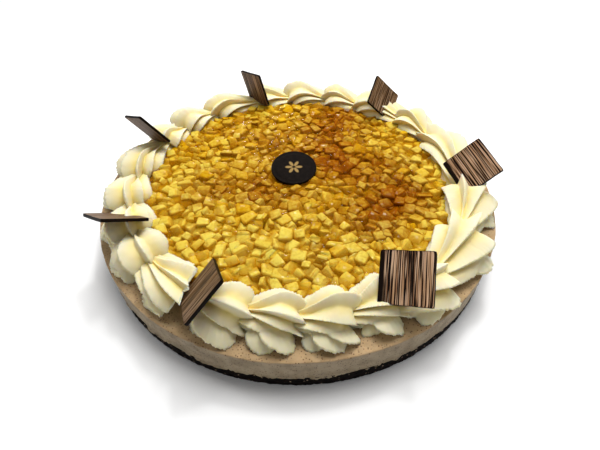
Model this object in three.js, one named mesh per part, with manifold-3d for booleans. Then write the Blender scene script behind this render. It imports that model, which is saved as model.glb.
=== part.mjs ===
// A chilled round apple pie, mm, +Z up, seen from the front along +Y.
// Origin: centre of the underside. A thin cocoa crumb base carries a thick
// disc of cinnamon mousse. Apple dice in jelly cover the middle, a ring of
// piped cream shells stands round them, seven striped chocolate squares lean
// in the ring and one round chocolate lies on the apples.
import * as THREE from 'three';
import { mergeVertices } from 'three/addons/utils/BufferGeometryUtils.js';
import Module from 'manifold-3d';

// ---------------------------------------------------------------- dimensions
const PIE_RADIUS = 140;           // mousse disc
const BASE_RADIUS = 139.8;        // mean of the crumbly rim
const BASE_HEIGHT = 7.5;
const MOUSSE_TOP = 26.6;
const CRUMB_RELIEF = 0.7;         // how far crumbs stand out of the base's side
const EDGE_SOFTENING = 0.7;       // the mousse's top edge
const GAP = 0.3;                  // between pieces that touch

const APPLE_CORE_RADIUS = 107;    // jelly under the dice, fitted to the cream
const APPLE_CORE_TOP = 31.2;
const APPLE_FIELD_RADIUS = 105;
const DIE = 9.2;                  // edge of one apple die
const DIE_SPREAD = 0.16;          // its unevenness
const DIE_PITCH = 13.4;
const DIE_TOP = 35.6;             // mean height of the dice's tops
const DIE_TILT = 0.34;            // largest lean, rad

const RING_RADIUS = 121.8;        // middle of the cream ring
const SHELL_HALF_WIDTH = 18.2;    // along the pie's radius
const SHELL_BELLY = 8.6;          // height over the mousse where a shell is widest
const SHELL_RISE = 15.4;          // from there to its top
const SHELL_FOOT = 0.88;          // its outline on the mousse, share of the widest
const SHELL_MIN_HALF = 17;        // shortest half length along the ring
const RIB_ORIGIN = -0.72;         // where the ribs meet, share of the half length
const TAIL_HEIGHT = 0.5;          // height of the tail, share of the head's
const RIBS = 14;                  // folds round that point
const RIB_DEPTH = 0.2;            // valley depth, share of the distance to the middle
// Angles (deg) round the ring where one shell's head meets the next one's tail.
const SHELL_ENDS = [222.1, 244, 256.3, 270.1, 284.1, 297.5, 312.5, 335.2, 355, 387, 401,
  422, 437, 454, 471, 491, 506, 520, 539.7, 555.2, 569.4, 582.1];
const LAST_PIPED = 6;             // this shell's tail lies over its neighbour's head
const PRESSED = { 0: 0.84, 18: 0.82 };  // heads pressed flat by a square, share of half length

const SQUARE = 28.8;              // chocolate square's side
const SQUARE_THICKNESS = 2;
// ring angle (deg), radius, height of the middle, then turns about Z, Y and X (deg)
const SQUARES = [
  [-62.7, 120.7, 52.6, -98.4, 32.4, -68.8],
  [-6.3, 120.1, 50.5, -67.5, 16.5, -43.0],
  [49.8, 116.6, 46.9, 1.2, 42.2, -56.8],
  [108.7, 114.5, 48.5, -50.7, -10.3, 9.0],
  [161.0, 121.9, 51.1, -44.0, -19.8, 27.9],
  [205.7, 124.3, 47.6, 141.2, 22.4, -57.0],
  [245.3, 121.5, 49.3, 110.9, 25.1, 52.5],
];

const DISC_RADIUS = 16.6;         // round chocolate on the apples
const DISC_THICKNESS = 2.2;
const DISC_PLACE = [-2.6, 4.4, 38.6];
const DISC_LEAN = 0.15;           // toward the front, rad

// ----------------------------------------------------------------- materials
const finish = (color, roughness) =>
  new THREE.MeshStandardMaterial({ color, roughness, metalness: 0 });
const COCOA_CRUMB = finish(0x1d1512, 0.9);
const MOUSSE = finish(0xb39c86, 0.7);
const APPLE = finish(0xd9a632, 0.3);
const CREAM = finish(0xf4eecb, 0.5);
const STRIPED_CHOCOLATE = finish(0x6b4a35, 0.45);
const DARK_CHOCOLATE = finish(0x14100f, 0.4);

// ------------------------------------------------------------------- helpers
const wasm = await Module();
wasm.setup();

/** Seeded random numbers from 0 to 1. */
function randomSource(seed) {
  let state = seed >>> 0;
  return () => {
    state = (Math.imul(state, 1664525) + 1013904223) >>> 0;
    return state / 4294967296;
  };
}

/** A closed geometry as a solid that can be joined and cut. */
function toSolid(geometry) {
  const bare = geometry.index ? geometry.clone() : geometry.toNonIndexed();
  for (const name of Object.keys(bare.attributes)) {
    if (name !== 'position') bare.deleteAttribute(name);
  }
  const merged = mergeVertices(bare, 1e-4);
  return new wasm.Manifold(new wasm.Mesh({
    numProp: 3,
    vertProperties: new Float32Array(merged.attributes.position.array),
    triVerts: new Uint32Array(merged.index.array),
  }));
}

/** The largest body of a solid, as a geometry. */
function toGeometry(solid) {
  const bodies = solid.decompose().sort((a, b) => b.volume() - a.volume());
  const mesh = bodies[0].getMesh();
  const geometry = new THREE.BufferGeometry();
  geometry.setAttribute('position', new THREE.BufferAttribute(new Float32Array(mesh.vertProperties), 3));
  geometry.setIndex(new THREE.BufferAttribute(new Uint32Array(mesh.triVerts), 1));
  geometry.computeVertexNormals();
  return geometry;
}

function named(name, geometry, material) {
  const mesh = new THREE.Mesh(geometry, material);
  mesh.name = name;
  return mesh;
}

/** Rings of points from pole to pole, closed into one skin; ring(i, j) gives a point. */
function skin(rings, around, firstPole, lastPole, ring) {
  const points = [firstPole];
  for (let i = 0; i < rings; i++) {
    for (let j = 0; j < around; j++) points.push(ring(i, j));
  }
  points.push(lastPole);
  const faces = [];
  const at = (i, j) => 1 + i * around + (j % around);
  for (let j = 0; j < around; j++) {
    faces.push(0, at(0, j), at(0, j + 1));
    faces.push(points.length - 1, at(rings - 1, j + 1), at(rings - 1, j));
  }
  for (let i = 0; i < rings - 1; i++) {
    for (let j = 0; j < around; j++) {
      faces.push(at(i, j), at(i + 1, j + 1), at(i, j + 1), at(i, j), at(i + 1, j), at(i + 1, j + 1));
    }
  }
  const geometry = new THREE.BufferGeometry();
  geometry.setAttribute('position', new THREE.Float32BufferAttribute(points.flat(), 3));
  geometry.setIndex(faces);
  return geometry;
}

// ------------------------------------------------------------ base and mousse
/** Uneven value from -1 to 1 that repeats every quarter turn, so the disc stays centred. */
function rimNoise(seed, count) {
  const random = randomSource(seed);
  const quarter = Array.from({ length: count / 4 }, () => random() * 2 - 1);
  return (j) => quarter[j % quarter.length];
}

/** A disc from levels of [radius, height, unevenness, seed]. */
function disc(levels, around) {
  const noise = levels.map((level) => rimNoise(level[3], around));
  const low = levels[0][1];
  const high = levels[levels.length - 1][1];
  return skin(levels.length, around, [0, 0, high], [0, 0, low], (i, j) => {
    const k = levels.length - 1 - i;
    const [radius, height, uneven] = levels[k];
    const r = radius + uneven * noise[k](j);
    const angle = (2 * Math.PI * j) / around;
    return [r * Math.cos(angle), r * Math.sin(angle), height];
  });
}

function cocoaBase() {
  return disc([
    [BASE_RADIUS - 0.9, 0, 0, 1],
    [BASE_RADIUS, 2.2, CRUMB_RELIEF, 2],
    [BASE_RADIUS, 5.1, CRUMB_RELIEF, 3],
    [BASE_RADIUS - 0.5, BASE_HEIGHT - GAP, 0, 4],
  ], 64);
}

function mousseDisc() {
  return disc([
    [PIE_RADIUS - 0.8, BASE_HEIGHT, 0.5, 5],
    [PIE_RADIUS, BASE_HEIGHT + 2.2, 0, 6],
    [PIE_RADIUS, MOUSSE_TOP - EDGE_SOFTENING, 0, 7],
    [PIE_RADIUS - EDGE_SOFTENING, MOUSSE_TOP, 0, 8],
  ], 64);
}

// -------------------------------------------------------------- cream shells
/** Where each shell lies: half length along the ring and angle of its middle (rad). */
function shellPlans() {
  const random = randomSource(21);
  const plans = [];
  for (let i = 0; i < SHELL_ENDS.length - 1; i++) {
    const from = THREE.MathUtils.degToRad(SHELL_ENDS[i]);
    const to = THREE.MathUtils.degToRad(SHELL_ENDS[i + 1]);
    const half = Math.max(((to - from) * RING_RADIUS) / (1 - RIB_ORIGIN), SHELL_MIN_HALF);
    plans.push({
      half,
      angle: to + (1 - half) / RING_RADIUS,
      width: SHELL_HALF_WIDTH * (0.97 + 0.06 * random()),
      rise: SHELL_RISE * (0.94 + 0.12 * random()),
      turn: (random() - 0.5) * 0.2,
      shift: (random() - 0.5) * 1.6,
      pressed: PRESSED[i] ?? 2,
    });
  }
  return plans;
}

/** Height of the shell's spine over its belly: low at the tail, full at the head. */
function spine(x) {
  const t = THREE.MathUtils.clamp((x + 1) / 1.1, 0, 1);
  return TAIL_HEIGHT + (1 - TAIL_HEIGHT) * t * t * (3 - 2 * t);
}

/** Depth of a fold: crests are sharp, valleys round, and all fade where the ribs meet. */
function fold(turn, reach) {
  return RIB_DEPTH * Math.abs(Math.sin((RIBS * turn) / 2)) * Math.min(1, reach * 2.5);
}

/**
 * A point of a shell. turn is the rib's direction from the point where the ribs
 * meet, 0 toward the head; reach is the share of the way from there to the
 * outline; level is 1 on the upper side and 0 on the mousse.
 */
function shellPoint(plan, turn, reach, level, grow) {
  const dx = Math.cos(turn);
  const dy = Math.sin(turn);
  const along = RIB_ORIGIN * dx;
  const outline = -along + Math.sqrt(along * along + 1 - RIB_ORIGIN * RIB_ORIGIN);
  let x = RIB_ORIGIN + reach * outline * dx;
  let y = reach * outline * dy;
  let z = Math.sqrt(Math.max(0, 1 - x * x - y * y)) * spine(x);
  const scale = (1 - fold(turn + plan.turn, reach)) * (level ? 1 : SHELL_FOOT);
  x = 0.1 + (x - 0.1) * scale;
  y *= scale * (0.94 + 0.1 * x);
  z *= scale;
  x = Math.min(x * (plan.half + grow), plan.half * plan.pressed + grow);
  y *= plan.width + grow;
  z = level ? SHELL_BELLY + z * (plan.rise + grow) : GAP - grow;
  const angle = plan.angle + x / RING_RADIUS;
  const radius = RING_RADIUS + plan.shift - y;
  return [radius * Math.cos(angle), radius * Math.sin(angle), MOUSSE_TOP + z];
}

/** Whether a point of the pie lies in a shell's rounded outline grown by a margin. */
function insideShell(plan, point, grow) {
  let turn = Math.atan2(point.y, point.x) - plan.angle;
  turn -= 2 * Math.PI * Math.round(turn / (2 * Math.PI));
  const x = (turn * RING_RADIUS) / (plan.half + grow);
  const y = (RING_RADIUS + plan.shift - Math.hypot(point.x, point.y)) / (plan.width + grow) / 1.04;
  const h = point.z - MOUSSE_TOP - SHELL_BELLY;
  const z = h > 0 ? h / (plan.rise + grow) : 0;
  return x * x + y * y + z * z < 1;
}

function shellSolid(plan, grow) {
  const around = 2 * RIBS;
  const rings = [[0.36, 1], [0.76, 1], [1, 1], [1, 0]];
  return toSolid(skin(rings.length, around,
    shellPoint(plan, 0, 0, 1, grow),
    shellPoint(plan, 0, 0.5, 0, grow),
    (i, j) => shellPoint(plan, (2 * Math.PI * j) / around - plan.turn, ...rings[i], grow)));
}

// ---------------------------------------------------------- chocolate pieces
/** A chocolate square where it stands, grown all round by a margin. */
function squareGeometry([ring, radius, height, turn, lean, roll], grow) {
  const rad = THREE.MathUtils.degToRad;
  const geometry = new THREE.BoxGeometry(
    SQUARE + 2 * grow, SQUARE_THICKNESS + 2 * grow, SQUARE + 2 * grow);
  const place = new THREE.Matrix4().makeRotationFromEuler(
    new THREE.Euler(rad(roll), rad(lean), rad(turn), 'ZYX'));
  place.setPosition(radius * Math.cos(rad(ring)), radius * Math.sin(rad(ring)), height);
  return geometry.applyMatrix4(place);
}

function discPlacement() {
  return new THREE.Matrix4().makeRotationX(DISC_LEAN).setPosition(...DISC_PLACE);
}

function roundChocolate() {
  const h = DISC_THICKNESS / 2;
  const profile = [[0, -h], [DISC_RADIUS, -h], [DISC_RADIUS, h], [0, h]];
  const geometry = new THREE.LatheGeometry(profile.map(([r, z]) => new THREE.Vector2(r, z)), 36);
  return geometry.rotateX(Math.PI / 2).applyMatrix4(discPlacement());
}

// ----------------------------------------------------------------- apple dice
/** Centres of the dice: rows like a honeycomb, each one moved a little at random. */
function dicePlaces() {
  const random = randomSource(77);
  const places = [];
  const row = DIE_PITCH * Math.sqrt(3) / 2;
  const rows = Math.ceil(APPLE_FIELD_RADIUS / row);
  for (let j = -rows; j <= rows; j++) {
    for (let i = -rows; i <= rows; i++) {
      const x = (i + (j % 2 ? 0.5 : 0)) * DIE_PITCH + (random() - 0.5) * 2.6;
      const y = j * row + (random() - 0.5) * 2.6;
      const spin = random() * Math.PI;
      const lean = (random() ** 1.5) * DIE_TILT;
      const toward = random() * 2 * Math.PI;
      const size = [0, 1, 2].map(() => DIE * (1 + DIE_SPREAD * (2 * random() - 1)));
      const rise = (random() - 0.5) * 2.4;
      if (Math.hypot(x, y) < APPLE_FIELD_RADIUS) places.push({ x, y, spin, lean, toward, size, rise });
    }
  }
  return places;
}

/** One die where it lies. */
function dieGeometry(die, height) {
  const geometry = new THREE.BoxGeometry(...die.size);
  const axis = new THREE.Vector3(Math.cos(die.toward), Math.sin(die.toward), 0);
  const place = new THREE.Matrix4().makeRotationAxis(axis, die.lean)
    .multiply(new THREE.Matrix4().makeRotationZ(die.spin));
  place.setPosition(die.x, die.y, height);
  return geometry.applyMatrix4(place);
}

/** Whether a die is clear of the cream, the squares and the mousse. */
function isClear(geometry, plans) {
  const points = geometry.attributes.position;
  const p = new THREE.Vector3();
  const q = new THREE.Vector3();
  for (let i = 0; i < points.count; i++) {
    p.fromBufferAttribute(points, i);
    for (let k = i + 1; k < points.count; k++) {
      q.fromBufferAttribute(points, k).lerp(p, 0.5);
      if (plans.some((plan) => insideShell(plan, q, GAP))) return false;
    }
    if (p.z < MOUSSE_TOP + GAP || plans.some((plan) => insideShell(plan, p, GAP))) return false;
  }
  return true;
}

/** Lowest height of the round chocolate's underside near a die. */
function ceilingOver(die) {
  const [x, y, z] = DISC_PLACE;
  const reach = Math.hypot(die.x - x, die.y - y) - DISC_RADIUS - DIE * 0.9;
  const fall = Math.tan(DISC_LEAN) * (die.y - y - DIE * 0.9);
  return reach > 0 ? Infinity : z - DISC_THICKNESS / 2 - GAP + fall;
}

/** One die, sunk or flattened until it fits between the mousse and the round chocolate. */
function settledDie(die) {
  const low = MOUSSE_TOP + GAP;
  const high = ceilingOver(die) - GAP;
  let height = DIE_TOP + die.rise - die.size[2] / 2;
  for (let attempt = 0; attempt < 8; attempt++) {
    const geometry = dieGeometry(die, height);
    geometry.computeBoundingBox();
    const over = geometry.boundingBox.max.z - high;
    const under = low - geometry.boundingBox.min.z;
    if (over <= 0 && under <= 0) return geometry;
    if (over > 0) {
      height -= over + 0.01;
    } else {
      die.size[2] -= high < Infinity ? under : 0;
      die.lean *= high < Infinity ? 0.6 : 0.9;
      height += high < Infinity ? under / 2 : under + 0.01;
    }
  }
  return null;
}

function appleDice(plans, shells) {
  const disc = new THREE.CylinderGeometry(APPLE_CORE_RADIUS, APPLE_CORE_RADIUS,
    APPLE_CORE_TOP - MOUSSE_TOP - GAP, 60).rotateX(Math.PI / 2)
    .translate(0, 0, (APPLE_CORE_TOP + MOUSSE_TOP + GAP) / 2);
  const core = shells.reduce((rest, shell) => rest.subtract(shell), toSolid(disc));
  const dice = [];
  for (const die of dicePlaces()) {
    for (let step = 0; step < 6; step++) {
      const geometry = settledDie(die);
      if (geometry !== null && isClear(geometry, plans)) {
        dice.push(geometry);
        break;
      }
      const away = 1 - 1.1 / Math.hypot(die.x, die.y);
      die.x *= away;
      die.y *= away;
    }
  }
  return wasm.Manifold.union([core, ...dice.map(toSolid)]);
}

// ------------------------------------------------------------------ assembly
const pie = new THREE.Group();
pie.add(named('chocolate_base', cocoaBase(), COCOA_CRUMB));
pie.add(named('cinnamon_mousse', mousseDisc(), MOUSSE));

const plans = shellPlans();
const shellSlots = plans.map((plan) => shellSolid(plan, GAP));
const squareSlots = SQUARES.map((square) => toSolid(squareGeometry(square, GAP)));
plans.forEach((plan, i) => {
  const before = (i + plans.length - 1) % plans.length;
  const after = (i + 1) % plans.length;
  let shell = shellSolid(plan, 0);
  if (i !== LAST_PIPED) shell = shell.subtract(shellSlots[before]);
  if (after === LAST_PIPED) shell = shell.subtract(shellSlots[after]);
  for (const slot of squareSlots) shell = shell.subtract(slot);
  pie.add(named(`cream_shell_${String(i + 1).padStart(2, '0')}`, toGeometry(shell), CREAM));
});

pie.add(named('apple_dice', toGeometry(appleDice(plans, shellSlots)), APPLE));
SQUARES.forEach((square, i) => {
  pie.add(named(`chocolate_square_${i + 1}`, squareGeometry(square, 0), STRIPED_CHOCOLATE));
});
pie.add(named('chocolate_disc', toGeometry(toSolid(roundChocolate())), DARK_CHOCOLATE));

export default pie;
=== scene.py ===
"""Chilled apple pie on a cocoa crumb: cinnamon mousse, a ring of piped cream shells,
glazed apple dice, seven striped chocolate squares and a dark chocolate disc.

Lengths are in millimetres in the classes below and become metres when a mesh is made.
x points right, y away from the viewer, z up; the pie stands on z = 0 with its axis on the origin.
"""

import logging
import math
from dataclasses import dataclass, field
from enum import Enum
from typing import Any

import bpy
import numpy as np
from mathutils import Euler, Matrix, Vector
from numpy.typing import NDArray

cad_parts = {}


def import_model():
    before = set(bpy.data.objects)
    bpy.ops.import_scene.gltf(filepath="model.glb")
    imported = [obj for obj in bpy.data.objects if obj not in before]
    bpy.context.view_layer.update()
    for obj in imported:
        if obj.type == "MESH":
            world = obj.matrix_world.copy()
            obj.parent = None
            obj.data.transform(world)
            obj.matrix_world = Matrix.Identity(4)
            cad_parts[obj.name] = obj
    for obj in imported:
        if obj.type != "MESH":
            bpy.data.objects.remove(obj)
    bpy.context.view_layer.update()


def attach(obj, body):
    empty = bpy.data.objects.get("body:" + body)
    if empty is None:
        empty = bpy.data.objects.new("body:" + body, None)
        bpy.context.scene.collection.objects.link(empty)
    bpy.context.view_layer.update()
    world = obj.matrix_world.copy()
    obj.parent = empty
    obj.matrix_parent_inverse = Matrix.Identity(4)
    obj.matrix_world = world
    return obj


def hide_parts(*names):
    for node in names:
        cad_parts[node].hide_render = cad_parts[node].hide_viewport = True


Array = NDArray[np.float64]
Stops = list[tuple[float, float | str]]
LOG = logging.getLogger("pie")
MM = 0.001
TAU = 2.0 * math.pi


# ---------------------------------------------------------------- shared small tools


def linear(code: str) -> tuple[float, float, float, float]:
    """Turn an sRGB hex colour into linear light.

    Args:
        code: six hex digits.

    Returns:
        Red, green, blue and an alpha of one.
    """
    parts = [int(code[i : i + 2], 16) / 255.0 for i in (0, 2, 4)]
    low_high = [c / 12.92 if c <= 0.04045 else ((c + 0.055) / 1.055) ** 2.4 for c in parts]
    return (low_high[0], low_high[1], low_high[2], 1.0)


def ease(low: float, high: float, value: Array) -> Array:
    """Smooth step: 0 below `low`, 1 above `high`, and 3t^2 - 2t^3 between them."""
    part = np.clip((value - low) / (high - low), 0.0, 1.0)
    return part * part * (3.0 - 2.0 * part)


def scattered(cells: Array, seed: int) -> Array:
    """A repeatable number for each lattice point: its whole coordinates and the seed, multiplied and shifted.

    Args:
        cells: the lattice points, the last axis x, y, z.
        seed: which set of numbers.

    Returns:
        Numbers in -1..1.
    """
    whole = np.floor(cells).astype(np.int64).astype(np.uint32)
    mixed = whole[..., 0] * np.uint32(374761393) + whole[..., 1] * np.uint32(668265263)
    mixed = mixed + whole[..., 2] * np.uint32(2246822519) + np.uint32((seed * 3266489917) & 0xFFFFFFFF)
    mixed = (mixed ^ (mixed >> np.uint32(13))) * np.uint32(1274126177)
    mixed = mixed ^ (mixed >> np.uint32(16))
    return mixed.astype(np.float64) / 2147483648.0 - 1.0


def cloud(points: Array, cell: float, seed: int, octaves: int = 1) -> Array:
    """Soft value noise in about -1..1.

    The numbers at the eight lattice corners around each point are blended by smooth steps;
    each further octave halves the cell and the strength.

    Args:
        points: places, the last axis x, y, z.
        cell: lattice spacing, in the units of the points.
        seed: which noise.
        octaves: how many layers are added.

    Returns:
        One number per point.
    """
    total = np.zeros(points.shape[:-1])
    weight = 1.0
    for layer in range(octaves):
        grid = points / (cell / 2**layer) + 0.37 * (layer + 1)
        base = np.floor(grid)
        part = grid - base
        part = part * part * (3.0 - 2.0 * part)
        value = np.zeros(points.shape[:-1])
        for corner in range(8):
            step = np.array([corner & 1, corner >> 1 & 1, corner >> 2 & 1], float)
            share = np.prod(np.where(step > 0.5, part, 1.0 - part), axis=-1)
            value = value + share * scattered(base + step, seed + 101 * layer)
        total = total + weight * value
        weight *= 0.5
    return total


def spun(order: str, degrees: tuple[float, float, float]) -> Array:
    """The 3 by 3 rotation for Euler angles in degrees, in the order given."""
    angles = [math.radians(a) for a in degrees]
    return np.array(Euler(angles, order).to_matrix())


def closed_grid(columns: int, rows: int) -> list[list[int]]:
    """Faces of a grid that wraps round in its columns, with a single point at each end.

    The points are counted: the first pole, then row after row, then the last pole.

    Args:
        columns: points round each row.
        rows: rows between the two poles.

    Returns:
        Point numbers of every face, turning one way.
    """
    column = np.arange(columns)
    after = (column + 1) % columns
    cap = np.stack([np.zeros(columns, int), 1 + column, 1 + after], 1)
    row = np.arange(rows - 1)[:, None] * columns + 1
    below = row + columns
    quads = np.stack([row + column, below + column, below + after, row + after], -1).reshape(-1, 4)
    foot = 1 + (rows - 1) * columns
    last = foot + columns
    cup = np.stack([foot + column, np.full(columns, last), foot + after], 1)
    return cap.tolist() + quads.tolist() + cup.tolist()


def carried_round(profile: Array, around: int) -> tuple[Array, Array, Array]:
    """Carry a profile of two numbers, the first a radius, round the axis.

    Args:
        profile: one row for each point of the profile.
        around: points round the axis.

    Returns:
        The angle of each column, and the two numbers as arrays of rows by columns.
    """
    turn = np.linspace(0.0, TAU, around, endpoint=False)
    still = np.zeros_like(turn)
    return turn, profile[:, 0][:, None] + still, profile[:, 1][:, None] + still


def polar(radius: Array, turn: Array, height: Array) -> Array:
    """Points at the radius and angle given, round the z axis, and at the height given."""
    return np.stack([radius * np.cos(turn), radius * np.sin(turn), height], -1)


@dataclass
class Skin:
    """A mesh in the making: points in millimetres, faces, and what is painted on the points."""

    points: Array
    faces: list[list[int]]
    paint: dict[str, Array] = field(default_factory=dict)
    uv: Array | None = None
    flip: bool = False

    def build(self, name: str) -> bpy.types.Object:
        """Make the object, shaded smooth, its place in its mesh.

        Args:
            name: the piece's name.

        Returns:
            The new object, linked to the scene.
        """
        mesh = bpy.data.meshes.new(name)
        faces = [face[::-1] for face in self.faces] if self.flip else self.faces
        mesh.from_pydata((self.points * MM).tolist(), [], faces)
        mesh.polygons.foreach_set("use_smooth", np.ones(len(mesh.polygons), bool))
        for key, values in self.paint.items():
            layer = mesh.attributes.new(key, "FLOAT", "POINT")
            layer.data.foreach_set("value", np.ascontiguousarray(values, dtype=np.float32))
        if self.uv is not None:
            corner = np.empty(len(mesh.loops), np.int32)
            mesh.loops.foreach_get("vertex_index", corner)
            layer = mesh.uv_layers.new(name="UVMap")
            layer.data.foreach_set("uv", self.uv[corner].astype(np.float32).ravel())
        mesh.validate()
        mesh.update()
        piece = bpy.data.objects.new(name, mesh)
        bpy.context.scene.collection.objects.link(piece)
        return piece


def place(piece: bpy.types.Object, coat: bpy.types.Material, slot: str, *nodes: str) -> None:
    """Dress a piece and hand it to the frame.

    Args:
        piece: the finished object.
        coat: its material.
        slot: not used.
        nodes: the solids it stands for.
    """
    piece.data.materials.append(coat)
    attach(piece, "root")
    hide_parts(*nodes)
    LOG.info("%s: %d points, %d faces", piece.name, len(piece.data.vertices), len(piece.data.polygons))


def add_node(
    tree: bpy.types.NodeTree,
    kind: str,
    settings: dict[str, Any] | None = None,
    feeds: dict[str | int, Any] | None = None,
) -> bpy.types.Node:
    """Add one node with its settings and links.

    Args:
        tree: the node tree it joins.
        kind: the node's type name.
        settings: properties set on the node; a list under "stops" fills its colour ramp.
        feeds: input name or number, with either a socket to link from or a value.

    Returns:
        The new node.
    """
    node = tree.nodes.new(kind)
    for key, value in (settings or {}).items():
        if key == "stops":
            ramp = node.color_ramp
            while len(ramp.elements) < len(value):
                ramp.elements.new(1.0)
            for element, (where, colour) in zip(ramp.elements, value):
                element.position = where
                element.color = linear(colour) if isinstance(colour, str) else (colour, colour, colour, 1.0)
        else:
            setattr(node, key, value)
    for key, value in (feeds or {}).items():
        if isinstance(value, bpy.types.NodeSocket):
            tree.links.new(value, node.inputs[key])
        else:
            node.inputs[key].default_value = value
    return node


# ---------------------------------------------------------------- finishes


def fineness(size_mm: float) -> float:
    """Scale of a pattern on object coordinates, in metres, from the size of what it shows."""
    return 1.0 / (size_mm * MM)


@dataclass(frozen=True)
class Finish:
    """What every finish shares: a name, the steps from an empty tree to a shader, and specks."""

    name: str = "finish"

    def start(self) -> tuple[bpy.types.Material, bpy.types.NodeTree, bpy.types.NodeSocket]:
        """Open an empty material.

        Returns:
            The material, its tree and the object coordinates in metres.
        """
        coat = bpy.data.materials.new(self.name)
        coat.use_nodes = True
        tree = coat.node_tree
        tree.nodes.clear()
        where = add_node(tree, "ShaderNodeTexCoord").outputs["Object"]
        return coat, tree, where

    def specks(
        self,
        tree: bpy.types.NodeTree,
        where: bpy.types.NodeSocket,
        cell_mm: float,
        spot: Stops,
        share: Stops,
        channel: str = "Red",
    ) -> bpy.types.NodeSocket:
        """Small round specks, in some of the cells of a scattered pattern.

        The distance from a cell's middle, cut by one ramp, is multiplied by the cell's own random
        number, cut by another.

        Args:
            tree: the material's tree.
            where: the object coordinates.
            cell_mm: mean distance between the cells.
            spot: ramp over the distance, one where the speck lies.
            share: ramp over the random number, above zero for the cells that have a speck.
            channel: which of the cell's three random numbers is read.

        Returns:
            How much of a speck there is at each place.
        """
        cells = add_node(
            tree, "ShaderNodeTexVoronoi", {}, {"Vector": where, "Scale": fineness(cell_mm), "Randomness": 1.0}
        )
        near = add_node(tree, "ShaderNodeValToRGB", {"stops": spot}, {"Fac": cells.outputs["Distance"]})
        drawn = add_node(tree, "ShaderNodeSeparateColor", {}, {"Color": cells.outputs["Color"]})
        some = add_node(tree, "ShaderNodeValToRGB", {"stops": share}, {"Fac": drawn.outputs[channel]})
        both = {0: near.outputs["Color"], 1: some.outputs["Color"]}
        return add_node(tree, "ShaderNodeMath", {"operation": "MULTIPLY"}, both).outputs[0]

    def close(
        self, coat: bpy.types.Material, tree: bpy.types.NodeTree, feeds: dict[str | int, Any]
    ) -> bpy.types.Material:
        """Add the shader and the output.

        Args:
            coat: the material.
            tree: its tree.
            feeds: the shader's inputs.

        Returns:
            The finished material.
        """
        shader = add_node(tree, "ShaderNodeBsdfPrincipled", {}, feeds)
        add_node(tree, "ShaderNodeOutputMaterial", {}, {"Surface": shader.outputs["BSDF"]})
        return coat


@dataclass(frozen=True)
class WhippedCream(Finish):
    """Whipped dairy cream pushed through a star nozzle: matt, ivory, lit from within.

    Light goes a few millimetres in; the yellow glow this gives the deep folds is painted into the colour by
    fold depth, the crests stay pale, and painted shade greys it low by the mousse; torn fat shows as a fine
    dry grain.
    """

    name: str = "whipped_cream"
    crest: str = "e2dcbf"  # the cream's own ivory, kept on the ridges, clear of the painted glow of the folds
    body: str = "e4d9b0"
    crease_glow: str = "e8d588"  # painted glow: the yellow of light scattered deep in the folds
    shade: str = "dcd5a8"  # painted shade: greyer low down by the mousse and where a head is pressed on a square
    grain_mm: float = 0.7
    lump_mm: float = 9.0

    def build(self) -> bpy.types.Material:
        """Build the material: painted fold depth picks the ivory, up to the painted yellow glow of the folds;
        noise mottles it, painted shade greys it low down and on pressed heads, and a grain lifts it.

        Returns:
            The material.
        """
        coat, tree, where = self.start()
        depth = add_node(tree, "ShaderNodeAttribute", {"attribute_name": "fold_depth"}).outputs["Fac"]
        low = add_node(tree, "ShaderNodeAttribute", {"attribute_name": "low_flank"}).outputs["Fac"]
        lumps = add_node(
            tree, "ShaderNodeTexNoise", {}, {"Vector": where, "Scale": fineness(self.lump_mm), "Detail": 3.0}
        ).outputs["Fac"]
        shift = add_node(
            tree, "ShaderNodeMath", {"operation": "MULTIPLY_ADD"}, {0: lumps, 1: 0.36, 2: -0.18}
        ).outputs[0]
        mixed = add_node(
            tree, "ShaderNodeMath", {"operation": "ADD", "use_clamp": True}, {0: depth, 1: shift}
        ).outputs[0]
        # painted light: ridges keep the pale ivory, deep folds take the painted yellow glow
        stops = [(0.0, self.crest), (0.34, self.body), (1.0, self.crease_glow)]
        hue = add_node(tree, "ShaderNodeValToRGB", {"stops": stops}, {"Fac": mixed}).outputs["Color"]
        # painted shade greys the ivory low down and on heads pressed against a square
        grey = add_node(
            tree, "ShaderNodeMix", {"data_type": "RGBA"}, {0: low, 6: hue, 7: linear(self.shade)}
        ).outputs[2]
        grain = add_node(
            tree,
            "ShaderNodeTexNoise",
            {},
            {"Vector": where, "Scale": fineness(self.grain_mm), "Detail": 4.0, "Roughness": 0.65},
        ).outputs["Fac"]
        lift = add_node(
            tree, "ShaderNodeBump", {}, {"Strength": 0.22, "Distance": 0.25 * MM, "Height": grain}
        ).outputs["Normal"]
        feeds = {
            "Base Color": grey,
            "Roughness": 0.48,
            "IOR": 1.45,
            "Specular IOR Level": 0.32,
            "Subsurface Weight": 0.8,
            "Subsurface Radius": (1.0, 0.78, 0.38),
            "Subsurface Scale": 0.0016,
            "Subsurface Anisotropy": 0.2,
            "Normal": lift,
        }
        return self.close(coat, tree, feeds)


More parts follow.
